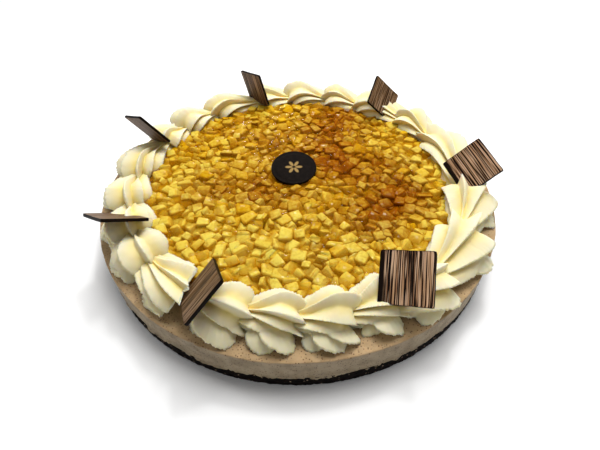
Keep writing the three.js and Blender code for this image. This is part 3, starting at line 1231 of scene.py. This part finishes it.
        t = np.linspace(0.0, 1.0, self.rows + 2)[1:-1, None]
        ends = (self.heart, self.pole, self.finish)
        heart, start, finish = (np.array([end[0] * shell.half, self.inward, end[1]]) for end in ends)
        start, finish = start - heart, finish - heart
        start, finish = start / np.linalg.norm(start), finish / np.linalg.norm(finish)
        axis = (start - finish) / np.linalg.norm(start - finish)
        upward = np.cross(axis, [0.0, 1.0, 0.0])
        upward = upward * np.sign(upward[2])
        spacing = TAU / shell.ribs
        ramp = ease(0.0, 0.2, t)
        around = column * TAU / columns - shell.turn + blend[1] * ramp + shell.twist * (t - 0.35)
        outer = 0.5 - 0.5 * np.tanh(3.0 * np.sin(around))
        blade = outer * self.blade(1.0 - part) + (1.0 - outer) * self.blade(part)
        sharp = (1.0 - np.sin(np.minimum(part, 1.0 - part) * math.pi)) ** 1.3 + 0.0 * t
        around = around - shell.lean * spacing * sharp**0.7 * ramp * (2.0 * outer - 1.0)
        middle = np.cos(around)[..., None] * upward + np.sin(around)[..., None] * np.array([0.0, 1.0, 0.0])
        share = t[..., None]
        way = (1.0 - share) ** 2 * start + 2.2 * share * (1.0 - share) * middle + share**2 * finish
        way = way / np.linalg.norm(way, axis=-1, keepdims=True)
        reach, floor = self.reached(shell, heart, way)
        plain = heart + way * reach[..., None]

        x, z = plain[..., 0], plain[..., 2]
        on_petal = ease(0.0, 0.3, self.body(shell, plain) - self.fringe(shell, plain))
        low = np.clip(1.0 - z / 7.0, 0.0, 1.0)
        head = ease(0.3 * shell.half, 0.95 * shell.half, x)
        deep = shell.depth * blend[0] * ramp * (1.0 + 0.25 * on_petal)
        run = np.cumsum(np.linalg.norm(np.diff(plain, axis=0, prepend=plain[:1]), axis=-1), axis=0)
        along = np.stack([run, rib * 31.0 + 0 * run, 0 * run], -1)
        notch = (run / self.tooth_mm + 0.9 * cloud(along, 6.0, 30, 2)) % 1.0
        teeth = (2.0 * notch - 1.0) * (0.6 + 0.5 * cloud(along, 3.0, 31, 1))
        edge = sharp**2.6 * ease(0.1, 0.3, t) * (1.0 - 0.3 * on_petal)
        scale = 1.0 - deep * (1.0 - blade) + edge * (0.045 * teeth + shell.tips * head * (1.0 - low))
        scale = scale * (1.0 + blend[2] * ramp)
        scale = scale + 0.02 * cloud(plain, 11.0, 500 + shell.number, 2) + 0.006 * cloud(plain, 2.6, 33, 2)
        fan = np.arctan2(plain[..., 1] - self.inward, x) * 9.0
        flute = cloud(np.stack([fan, 0 * x, 0 * x], -1), 1.0, 37, 2)
        scale = scale + 0.03 * flute * on_petal
        spot = heart + way * (reach * scale)[..., None]
        ragged = 0.7 * cloud(spot * [1, 1, 0.4], 2.0, 35, 2) * ease(0.4, 1.0, low)
        long = spot[..., 0] + ragged
        wide = spot[..., 1] + ragged
        level = np.where(floor, 0.0, np.maximum(spot[..., 2], 0.0))
        rows = self.laid(shell, long, wide, level)
        flat = np.zeros(rows.shape[:-1], bool)
        if shell.pressed >= 0:
            rows, flat = self.stopped(rows, SQUARES[shell.pressed], self.gaps[shell.pressed])
        first = self.laid(shell, *(heart + start * self.reached(shell, heart, start[None])[0]))
        last = self.laid(shell, *(heart + finish * self.reached(shell, heart, finish[None])[0]))
        points = np.concatenate([[first], rows.reshape(-1, 3), [last]])
        # fold depth paints the folds' yellow glow: strongest near the tail where the creases meet, weaker low
        # down and on a pressed head
        fold = (1.0 - blade) ** 1.4 * (0.25 + 0.75 * ramp) * blend[0] * (1.0 - 0.4 * on_petal)
        fold = np.clip(fold + 0.7 * np.exp(-((t / 0.16) ** 2)), 0.0, 1.0)
        fold = fold * (1.0 - 0.4 * low) * (1.0 - 0.7 * flat)
        # painted shade low by the mousse and on a head pressed flat against a square
        shade = np.clip(0.35 * low + 0.35 * flat, 0.0, 1.0)
        paint = {
            "fold_depth": np.concatenate([[1.0], fold.ravel(), [0.5]]),
            "low_flank": np.concatenate([[0.0], shade.ravel(), [0.5]]),
        }
        return Skin(points, closed_grid(columns, self.rows), paint)

    def stopped(self, rows: Array, square: Square, gap: float) -> tuple[Array, Array]:
        """Press a shell's head flat against a square: points past the square's near face are brought back
        along its normal to a smeared plane a little short of it.

        Args:
            rows: the shell's points.
            square: the square it meets.
            gap: how far short of the square's middle it stops.

        Returns:
            The points, and which of them were brought back.
        """
        theta = math.radians(square.angle)
        middle = np.array([square.radius * math.cos(theta), square.radius * math.sin(theta), square.height])
        normal = spun("XYZ", (square.roll, square.lean, square.turn)) @ np.array([0.0, 1.0, 0.0])
        ahead = np.array([-math.sin(theta), math.cos(theta), 0.0])
        normal = normal * np.sign(normal @ ahead)
        past = (rows - middle) @ normal + gap
        flat = past > 0.0
        smear = 0.5 * cloud(rows, 3.0, 36, 3) * np.clip(past / 2.0, 0.0, 1.0)
        return np.where(flat[..., None], rows - normal * (past - smear)[..., None], rows), flat

    def laid(self, shell: Shell, long: Array | float, wide: Array | float, level: Array | float) -> Array:
        """Carry places onto the bent line of the ring: what is along becomes an angle, what is across a
        radius, and what is above a height over the seat.

        Args:
            shell: the shell.
            long: places along it.
            wide: places across it, positive inwards.
            level: heights above the mousse.

        Returns:
            The points.
        """
        theta = shell.angle + np.asarray(long) / self.ring
        radius = self.ring + shell.shift - np.asarray(wide)
        height = self.seat + 0.05 + np.asarray(level) + 0.0 * radius
        return polar(radius, theta, height)

    def make(self) -> None:
        """Build every shell and dress it in cream."""
        cream = WhippedCream().build()
        for shell in self.shells():
            piece = self.skin(shell).build(f"piped_shell_{shell.number:02d}")
            place(piece, cream, "cream", f"cream_shell_{shell.number:02d}")


# ---------------------------------------------------------------- apple


@dataclass(frozen=True)
class Zone:
    """A soft round patch on the apples: its middle, its reach and its strength."""

    x: float
    y: float
    reach: float
    strength: float

    def at(self, x: Array, y: Array) -> Array:
        """Strength at each place, falling off as a bell curve."""
        return self.strength * np.exp(-((x - self.x) ** 2 + (y - self.y) ** 2) / self.reach**2)


@dataclass
class AppleTop:
    """Glazed apple dice heaped inside the cream."""

    spread: float = 107.0
    pitch: float = 8.5
    die: float = 8.3
    top: float = 35.4
    crown: float = 1.2
    jelly_radius: float = 110.0
    jelly_foot: float = 26.7
    jelly_around: int = 400
    jelly_rings: int = 100
    batch: int = 4000
    cuts: tuple[float, ...] = (-1.0, -0.7, 0.7, 1.0)
    corner_drawn: float = 0.86
    edge_drawn: float = 0.93
    upper: Array = field(init=False)
    lower: Array = field(init=False)
    spiced: tuple[Zone, ...] = (
        Zone(30.0, 12.0, 22.0, 0.95),
        Zone(50.0, -38.0, 22.0, 0.85),
        Zone(77.0, -24.0, 18.0, 0.85),
        Zone(60.0, 8.0, 26.0, 0.5),
        Zone(38.0, 66.0, 34.0, 0.6),
        Zone(40.0, 90.0, 20.0, 0.35),
        Zone(-60.0, -14.0, 20.0, 0.5),
        Zone(-30.0, -12.0, 22.0, 0.4),
        Zone(-2.0, -24.0, 20.0, 0.5),
        Zone(0.0, 44.0, 40.0, 0.4),
        Zone(-50.0, 50.0, 36.0, 0.3),
    )
    pale: tuple[Zone, ...] = (
        Zone(-62.0, -60.0, 38.0, 0.8),
        Zone(-97.0, -8.0, 30.0, 0.7),
        Zone(5.0, -92.0, 40.0, 0.85),
        Zone(94.0, 14.0, 26.0, 0.85),
        Zone(93.0, -40.0, 20.0, 0.8),
        Zone(58.0, -66.0, 24.0, 0.6),
        Zone(-20.0, -62.0, 30.0, 0.4),
    )

    def cinnamon(self, x: Array, y: Array) -> Array:
        """How much cinnamon lies at each place: the spiced zones summed, broken up by noise of 17 mm.

        Args:
            x: the places' x.
            y: the places' y.

        Returns:
            The amount, from 0 to 1.
        """
        total = sum(zone.at(x, y) for zone in self.spiced)
        there = np.stack([x, y, 0.0 * x], -1)
        return np.clip(total + 0.22 * cloud(there, 17.0, 51, 2), 0.0, 1.0)

    def surface(self, x: Array, y: Array) -> Array:
        """Height of the heap's top: a low crown, a square of the radius, and noise of 24 mm.

        Args:
            x: the places' x.
            y: the places' y.

        Returns:
            The height at each place.
        """
        across = np.hypot(x, y) / self.spread
        there = np.stack([x, y, 0.0 * x], -1)
        return self.top + self.crown * (1.0 - across**2) + 0.9 * cloud(there, 24.0, 52, 1)

    def settle(self, pitch: float, seed: int, passes: int) -> Array:
        """Spots for a layer of dice.

        A shaken hexagonal grid is pushed apart, pass by pass, wherever two spots are closer than the
        mean of their own reaches, and kept inside the field.

        Args:
            pitch: mean distance between neighbours.
            seed: which layout.
            passes: how often they are pushed.

        Returns:
            x, y and reach of each spot.
        """
        rng = np.random.default_rng(seed)
        count = int(2 * self.spread / pitch) + 3
        row, column = np.mgrid[-count : count + 1, -count : count + 1]
        x = (column + 0.5 * (row % 2)).ravel() * pitch
        y = row.ravel() * pitch * math.sqrt(0.75)
        x = x + rng.normal(0.0, 0.24 * pitch, x.size)
        y = y + rng.normal(0.0, 0.24 * pitch, y.size)
        inside = np.hypot(x, y) < self.spread
        x, y = x[inside], y[inside]
        reach = pitch * rng.uniform(0.66, 1.12, x.size)
        for _ in range(passes):
            gap_x, gap_y = x[:, None] - x[None, :], y[:, None] - y[None, :]
            apart = np.hypot(gap_x, gap_y) + 1e-6
            want = 0.5 * (reach[:, None] + reach[None, :])
            push = np.where(apart < want, (want - apart) / apart, 0.0)
            np.fill_diagonal(push, 0.0)
            x = x + 0.24 * (push * gap_x).sum(1)
            y = y + 0.24 * (push * gap_y).sum(1)
            out = np.maximum(np.hypot(x, y) / (self.spread - 2.0), 1.0)
            x, y = x / out, y / out
        return np.stack([x, y, reach], 1)

    def block(self) -> tuple[Array, list[list[int]]]:
        """One die of 54 faces: a cube in three steps a side, its edges and corners drawn in.

        Returns:
            The points in -1..1 and the faces, turning outwards.
        """
        step = np.array(self.cuts)
        found: dict[tuple[float, ...], int] = {}
        faces: list[list[int]] = []
        for axis in range(3):
            for sign in (-1.0, 1.0):
                for i in range(3):
                    for j in range(3):
                        corners = [(i, j), (i + 1, j), (i + 1, j + 1), (i, j + 1)]
                        loop = []
                        for a, b in corners if sign > 0 else corners[::-1]:
                            spot = [0.0, 0.0, 0.0]
                            spot[axis], spot[(axis + 1) % 3], spot[(axis + 2) % 3] = sign, step[a], step[b]
                            loop.append(found.setdefault(tuple(spot), len(found)))
                        faces.append(loop)
        points = np.array(list(found))
        outer = (np.abs(points) > 0.99).sum(1)
        drawn = np.where(outer == 3, self.corner_drawn, np.where(outer == 2, self.edge_drawn, 1.0))[:, None]
        return np.where(np.abs(points) > 0.99, points * drawn, points), faces

    def dice(self) -> Skin:
        """Work out every die as one skin.

        Each die is the block with its eight corners pulled about, one side pinched on some so that it
        becomes a wedge; it is then sized, tilted and set with its highest point near the heap's surface,
        or a millimetre or two under it in the lower layer. Both layers' places, heights and reaches are kept
        for the jelly.

        Returns:
            The skin, with ripeness, cinnamon and depth painted; the depth is partly glaze pooled low on each
            die and partly painted shade between the dice and along each die's edges.
        """
        rng = np.random.default_rng(77)
        upper = self.settle(self.pitch, 5, 90)
        lower = self.settle(self.pitch * 1.04, 6, 60)
        spots = np.concatenate([upper, lower])
        count = len(spots)
        over = np.arange(count) < len(upper)
        block, faces = self.block()
        size = self.die * rng.uniform(0.86, 1.14, (count, 3)) / 2.0
        size[:, 2] *= 0.92
        size *= np.clip(spots[:, 2] / self.pitch * 1.06, 0.74, 1.2)[:, None]
        corner = rng.uniform(-0.3, 0.3, (count, 2, 2, 2, 3))
        wedge = rng.uniform(0.0, 1.0, count) < 0.3
        corner[wedge, 1, :, 1, 0] -= rng.uniform(0.5, 1.2, wedge.sum())[:, None]
        low, high = (1.0 - block) / 2.0, (1.0 + block) / 2.0
        shares = np.stack([low, high], 0)
        weight = np.einsum("ap,bp,cp->abcp", shares[:, :, 0], shares[:, :, 1], shares[:, :, 2])
        shape = (block[None] + np.einsum("abcp,nabcx->npx", weight, corner)) * size[:, None, :]
        turn = rng.uniform(0.0, TAU, count)
        lean = np.abs(rng.normal(0.0, 0.2, count))
        lean = np.where(rng.uniform(0, 1, count) < 0.26, rng.uniform(0.3, 0.8, count), lean)
        way = rng.uniform(0.0, TAU, count)
        spin = np.zeros((count, 3, 3))
        for axis, angles in ((2, turn), (0, lean), (2, way)):
            c, s = np.cos(angles), np.sin(angles)
            one = np.zeros((count, 3, 3))
            i, j = ((1, 2), (0, 1))[axis == 2]
            one[:, axis, axis] = 1.0
            one[:, i, i], one[:, i, j], one[:, j, i], one[:, j, j] = c, -s, s, c
            spin = one if not spin.any() else np.einsum("nij,njk->nik", one, spin)
        shape = np.einsum("nij,npj->npi", spin, shape)
        high_point = shape[:, :, 2].max(1)
        ground = self.surface(spots[:, 0], spots[:, 1])
        level = ground + rng.normal(0.0, 0.75, count) - np.where(over, 0.0, rng.uniform(0.9, 2.6, count))
        middle = np.stack([spots[:, 0], spots[:, 1], level - high_point], 1)
        shape = shape + middle[:, None, :]
        shape[:, :, 2] = np.maximum(shape[:, :, 2], self.jelly_foot + 0.4)
        points = shape.reshape(-1, 3)
        numbers = (np.array(faces)[None] + (np.arange(count) * len(block))[:, None, None]).reshape(-1, 4)
        spice = self.cinnamon(spots[:, 0], spots[:, 1]) + rng.normal(0.0, 0.07, count)
        light = sum(zone.at(spots[:, 0], spots[:, 1]) for zone in self.pale)
        tint = 0.66 - 0.6 * light + rng.normal(0.0, 0.2, count) + 0.15 * ~over
        # painted shade: each die's edges and its lower part take the deeper amber, partly standing for pooled
        # glaze
        rim = 0.5 * ((np.abs(block) > 0.8).sum(1) > 1)
        sunk = np.clip(ease(0.0, 3.2, level[:, None] - shape[:, :, 2]) * 0.95 + rim[None, :], 0.0, 1.0)
        paint = {
            "ripeness": np.repeat(np.clip(tint, 0.0, 1.0), len(block)),
            "cinnamon": np.clip(spice[:, None] * (0.62 + 0.6 * sunk), 0.0, 1.0).ravel(),
            "sunk": sunk.ravel(),
        }
        settled = np.column_stack([spots[:, :2], level, spots[:, 2]])
        self.upper, self.lower = settled[: len(upper)], settled[len(upper) :]
        return Skin(points, numbers.tolist(), paint)

    def jelly(self) -> Skin:
        """Work out the jelly that fills the heap.

        Rings of points carry a height that follows the heap a little more than a millimetre under its top,
        dimpled by noise and drawn up over each die of the upper layer by a bell curve of the fourth power; a
        wall and a flat foot close it. The painted cover is thin over the dice and thicker between them.

        Returns:
            The skin, with cinnamon, fruit below, thickness and cover painted; the thickness also carries
            painted shade in the crevices between the dice.
        """
        around, rings = self.jelly_around, self.jelly_rings
        turn = np.linspace(0.0, TAU, around, endpoint=False)
        reach = np.linspace(0.0, 1.0, rings + 1)[1:, None] * self.jelly_radius
        x, y = reach * np.cos(turn), reach * np.sin(turn)
        flat = np.stack([x.ravel(), y.ravel()], 1)
        apart, level, under = np.full(len(flat), 99.0), np.zeros(len(flat)), np.full(len(flat), 99.0)
        upper, lower = self.upper, self.lower
        for start in range(0, len(flat), self.batch):
            part = slice(start, start + self.batch)
            aside = flat[part, None, :] - upper[None, :, :2]
            gaps = np.sqrt((aside**2).sum(-1)) / (upper[:, 3] / self.pitch)
            nearest = gaps.argmin(1)
            apart[part], level[part] = gaps.min(1), upper[nearest, 2]
            aside = flat[part, None, :] - lower[None, :, :2]
            under[part] = np.sqrt((aside**2).sum(-1)).min(1)
        apart, level, under = (a.reshape(x.shape) for a in (apart, level, under))
        near = np.exp(-((apart / 4.4) ** 4))
        there = np.stack([x, y, 0.0 * x], -1)
        valley = self.surface(x, y) - 1.25 + 0.25 * cloud(there, 3.4, 61, 3)
        height = valley * (1.0 - near) + np.minimum(level - 0.7, valley + 1.0) * near
        height = height - 1.6 * ease(0.965, 1.0, reach / self.jelly_radius)
        rows = [np.stack([x, y, height], -1).reshape(-1, 3)]
        edge = np.stack([x[-1], y[-1], np.full(around, self.jelly_foot)], -1)
        rows += [edge, edge * [0.5, 0.5, 1.0]]
        centre = float(height[0].mean())
        points = np.concatenate([[[0.0, 0.0, centre]], *rows, [[0.0, 0.0, self.jelly_foot]]])
        spice = self.cinnamon(points[:, 0], points[:, 1])
        shine = np.exp(-((under / 3.6) ** 4)) * 0.8
        seen = np.concatenate([[0.0], shine.ravel(), np.zeros(2 * around + 1)])
        # painted shade: darker away from the dice, in the crevices, where the jelly is also thickest
        thick_and_shaded = np.concatenate([[0.5], ease(4.0, 7.2, apart).ravel(), np.ones(2 * around + 1)])
        veil = 0.2 + 0.4 * ease(3.6, 6.6, apart) + 0.1 * cloud(there, 3.0, 62, 2)
        cover = np.concatenate([[1.0], np.clip(veil, 0.0, 1.0).ravel(), np.ones(2 * around + 1)])
        paint = {"cinnamon": spice, "fruit_below": seen, "thickness": thick_and_shaded, "cover": cover}
        return Skin(points, closed_grid(around, rings + 2), paint)

    def make(self) -> None:
        """Build the dice and their jelly."""
        place(self.dice().build("glazed_dice"), AppleFlesh().build(), "apple", "apple_dice")
        place(self.jelly().build("apple_jelly"), AppleGlaze().build(), "apple", "apple_dice")


# ---------------------------------------------------------------- chocolate


@dataclass
class Decoration:
    """The seven squares and the disc."""

    side: float = 28.8
    thickness: float = 2.0
    steps: int = 30
    disc_radius: float = 16.6
    disc_thickness: float = 2.2
    disc_place: tuple[float, float, float] = (-2.6, 4.4, 38.6)
    disc_lean: float = 0.15
    disc_around: int = 240
    rosette: float = 6.2

    def slab(self, number: int, square: Square) -> Skin:
        """Work out one square.

        A grid over a front and a back face, joined round the rim; the rim is drawn in by a tenth of the
        thickness at both faces, its line wavers by a few tenths of a millimetre, the corners are chipped a
        little and the whole bows as a square of the way across. Faces with bright stripes keep a bare margin
        along one edge. The slab is then turned and carried to its place.

        Args:
            number: which square, for its own unevenness.
            square: its place.

        Returns:
            Its closed skin, with the stripes' coordinates, their brightness and the bare rim painted.
        """
        n = self.steps
        line = np.concatenate([[-1.0], np.linspace(-0.985, 0.985, n - 1), [1.0]])
        column, row = np.meshgrid(line, line, indexing="ij")
        edge = np.maximum(np.abs(column), np.abs(row))
        half = self.side / 2.0
        where = np.stack([column * half, row * half, np.full_like(column, 40.0 * number)], -1)
        waver = 0.012 * cloud(where, 5.0, 71, 2) * ease(0.8, 1.0, edge)
        chip = 0.018 * ease(0.9, 1.0, np.abs(column * row))
        grow = 1.0 + waver - chip
        bow = 0.25 * (column**2 - 0.5) * math.sin(1.7 * number)
        layers, coords, rims = [], [], []
        for depth, draw in ((-1.0, 0.985), (-0.72, 1.0), (0.72, 1.0), (1.0, 0.985)):
            inset = 1.0 - (1.0 - draw) * ease(0.9, 1.0, edge)
            x, z = column * half * grow * inset, row * half * grow * inset
            y = depth * self.thickness / 2.0 + bow
            layers.append(np.stack([x, y, z], -1).reshape(-1, 3))
            uv = np.stack([row, column] if square.across else [column, row], -1) * 0.5 + 0.5
            coords.append((uv + [3.1 * number, 1.7 * number]).reshape(-1, 2))
            across_it = row if square.across else column
            bare = ease(-0.86, -0.8, -across_it + 0.05 * cloud(where, 7.0, 72, 2) - 1.62)
            margin = bare * (square.face is Face.BRIGHT)
            on_face = abs(depth) == 1.0
            rim = np.maximum(ease(0.98, 1.0, edge), margin) if on_face else np.ones_like(edge)
            rims.append(rim.ravel())
        per = (n + 1) ** 2
        index = np.arange(per).reshape(n + 1, n + 1)
        quad = np.stack([index[:-1, :-1], index[1:, :-1], index[1:, 1:], index[:-1, 1:]], -1).reshape(-1, 4)
        loop = np.concatenate([index[:-1, 0], index[-1, :-1], index[:0:-1, -1], index[0, :0:-1]])
        after = np.roll(loop, -1)
        faces = [(quad + 3 * per)[:, ::-1], quad]
        for layer in range(3):
            near, far = layer * per, (layer + 1) * per
            side = np.stack([loop + near, loop + far, after + far, after + near], -1)
            faces.append(side[:, ::-1])
        points = np.concatenate(layers)
        # Of the two layers inside the thickness only the rim is kept.
        keep = np.zeros(len(points), bool)
        keep[:per] = True
        keep[3 * per :] = True
        keep[loop + per] = True
        keep[loop + 2 * per] = True
        renumber = np.cumsum(keep) - 1
        numbers = renumber[np.concatenate(faces)].tolist()
        matrix = spun("XYZ", (square.roll, square.lean, square.turn))
        theta = math.radians(square.angle)
        middle = [square.radius * math.cos(theta), square.radius * math.sin(theta), square.height]
        points = points[keep] @ matrix.T + middle
        paint = {
            "brightness": np.full(len(points), square.face.value),
            "rim": np.concatenate(rims)[keep],
        }
        return Skin(points, numbers, paint, np.concatenate(coords)[keep])

    def disc(self) -> Skin:
        """Work out the disc.

        A profile whose rim is a tenth of a millimetre lower than its middle is carried round the axis. The
        rosette is six petals, gold where the radius is less than its reach times the cosine of three times
        the angle, and bare at the very middle.

        Returns:
            Its closed skin, with the gold painted.
        """
        radius, half = self.disc_radius, self.disc_thickness / 2.0
        rings = np.linspace(0.0, 1.0, 40)[1:]
        top = [(t * (radius - 0.5), half - 0.12 * float(ease(0.8, 0.86, np.array(t)))) for t in rings]
        bend = np.linspace(0.0, math.pi, 9)
        side = [(radius - 0.5 + 0.5 * math.sin(b), half * math.cos(b)) for b in bend]
        bottom = [(t * (radius - 0.5), -half) for t in np.linspace(0.0, 1.0, 6)[1:][::-1]]
        profile = np.array(top[:-1] + side + bottom[1:])
        turn, reach, level = carried_round(profile, self.disc_around)
        rows = polar(reach, turn, level)
        petal = np.abs(np.cos(3.0 * turn))[None, :] * self.rosette
        gold = ease(-0.35, 0.35, petal - reach) * ease(0.9, 1.5, reach) * (level > half - 0.2)
        points = np.concatenate([[[0.0, 0.0, half]], rows.reshape(-1, 3), [[0.0, 0.0, -half]]])
        painted = np.concatenate([[0.0], gold.ravel(), [0.0]])
        matrix = spun("XYZ", (math.degrees(self.disc_lean), 0.0, 0.0))
        points = points @ matrix.T + list(self.disc_place)
        return Skin(points, closed_grid(self.disc_around, len(profile)), {"gold": painted})

    def make(self) -> None:
        """Build the squares and the disc."""
        striped = StripedChocolate().build()
        for number, square in enumerate(SQUARES, 1):
            piece = self.slab(number, square).build(f"striped_square_{number}")
            place(piece, striped, "striped_chocolate", f"chocolate_square_{number}")
        place(self.disc().build("dark_disc"), DarkChocolate().build(), "dark_chocolate", "chocolate_disc")


# ---------------------------------------------------------------- stage


@dataclass
class Studio:
    """White floor, soft overhead light and the camera."""

    eye: tuple[float, float, float] = (0.0, -230.8, 219.5)
    pitch: float = 45.7
    yaw: float = 0.35
    roll: float = -0.67
    lens: float = 24.0
    key: float = 11.4
    sparkle: float = 1.6
    fill: float = 0.24
    floor_half: float = 2.6

    def make(self) -> None:
        """Set the floor, the lights, the sky and the camera."""
        scene = bpy.context.scene
        scene.view_settings.view_transform = "Standard"
        scene.view_settings.look = "None"
        half = self.floor_half
        corners = [(-half, -half, 0), (half, -half, 0), (half, half, 0), (-half, half, 0)]
        mesh = bpy.data.meshes.new("floor")
        mesh.from_pydata(corners, [], [(0, 1, 2, 3)])
        floor = bpy.data.objects.new("floor", mesh)
        scene.collection.objects.link(floor)
        mesh.materials.append(PaleSweep().build())

        softbox = self.lamp("overhead", (0.14, 0.3, 0.9), (0.0, 0.0, 0.0), 0.75, self.key)
        softbox.visible_glossy = False
        self.lamp("glint", (0.16, 0.34, 0.86), (0.0, 0.0, 0.0), 0.1, self.sparkle)
        self.lamp("glint_left", (-0.72, 0.3, 0.62), (0.0, 0.0, 0.0), 0.12, 0.5 * self.sparkle)
        self.lamp("glint_back", (-0.1, 0.85, 0.5), (0.0, 0.0, 0.0), 0.12, 0.7 * self.sparkle)
        world = bpy.data.worlds.new("sky")
        scene.world = world
        world.use_nodes = True
        sky = world.node_tree.nodes["Background"]
        sky.inputs["Color"].default_value = (1.0, 1.0, 1.0, 1.0)
        sky.inputs["Strength"].default_value = self.fill

        lens = bpy.data.cameras.new("camera")
        lens.lens, lens.sensor_width = self.lens, 36.0
        lens.clip_start, lens.clip_end = 0.01, 50.0
        camera = bpy.data.objects.new("camera", lens)
        away = Matrix.Translation([v * MM for v in self.eye])
        aside = Matrix.Rotation(math.radians(-self.yaw), 4, "Z")
        tilt = Matrix.Rotation(math.radians(90.0 - self.pitch), 4, "X")
        roll = Matrix.Rotation(math.radians(self.roll), 4, "Z")
        camera.matrix_world = away @ (aside @ tilt) @ roll
        scene.collection.objects.link(camera)
        scene.camera = camera

    def lamp(
        self,
        name: str,
        place_at: tuple[float, float, float],
        aim: tuple[float, float, float],
        size: float,
        power: float,
    ) -> bpy.types.Object:
        """Hang a square soft light.

        Args:
            name: its name.
            place_at: where it hangs, in metres.
            aim: what it points at.
            size: its side in metres.
            power: its watts.

        Returns:
            The lamp.
        """
        light = bpy.data.lights.new(name, "AREA")
        light.shape, light.size, light.energy = "SQUARE", size, power
        lamp = bpy.data.objects.new(name, light)
        lamp.location = place_at
        lamp.rotation_euler = (Vector(aim) - Vector(place_at)).to_track_quat("-Z", "Y").to_euler()
        bpy.context.scene.collection.objects.link(lamp)
        return lamp


def main() -> None:
    """Load the frame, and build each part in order."""
    logging.basicConfig(level=logging.INFO, format="%(message)s")
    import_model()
    Studio().make()
    Base().make()
    Mousse().make()
    CreamRing().make()
    AppleTop().make()
    Decoration().make()


if __name__ == "__main__":
    main()
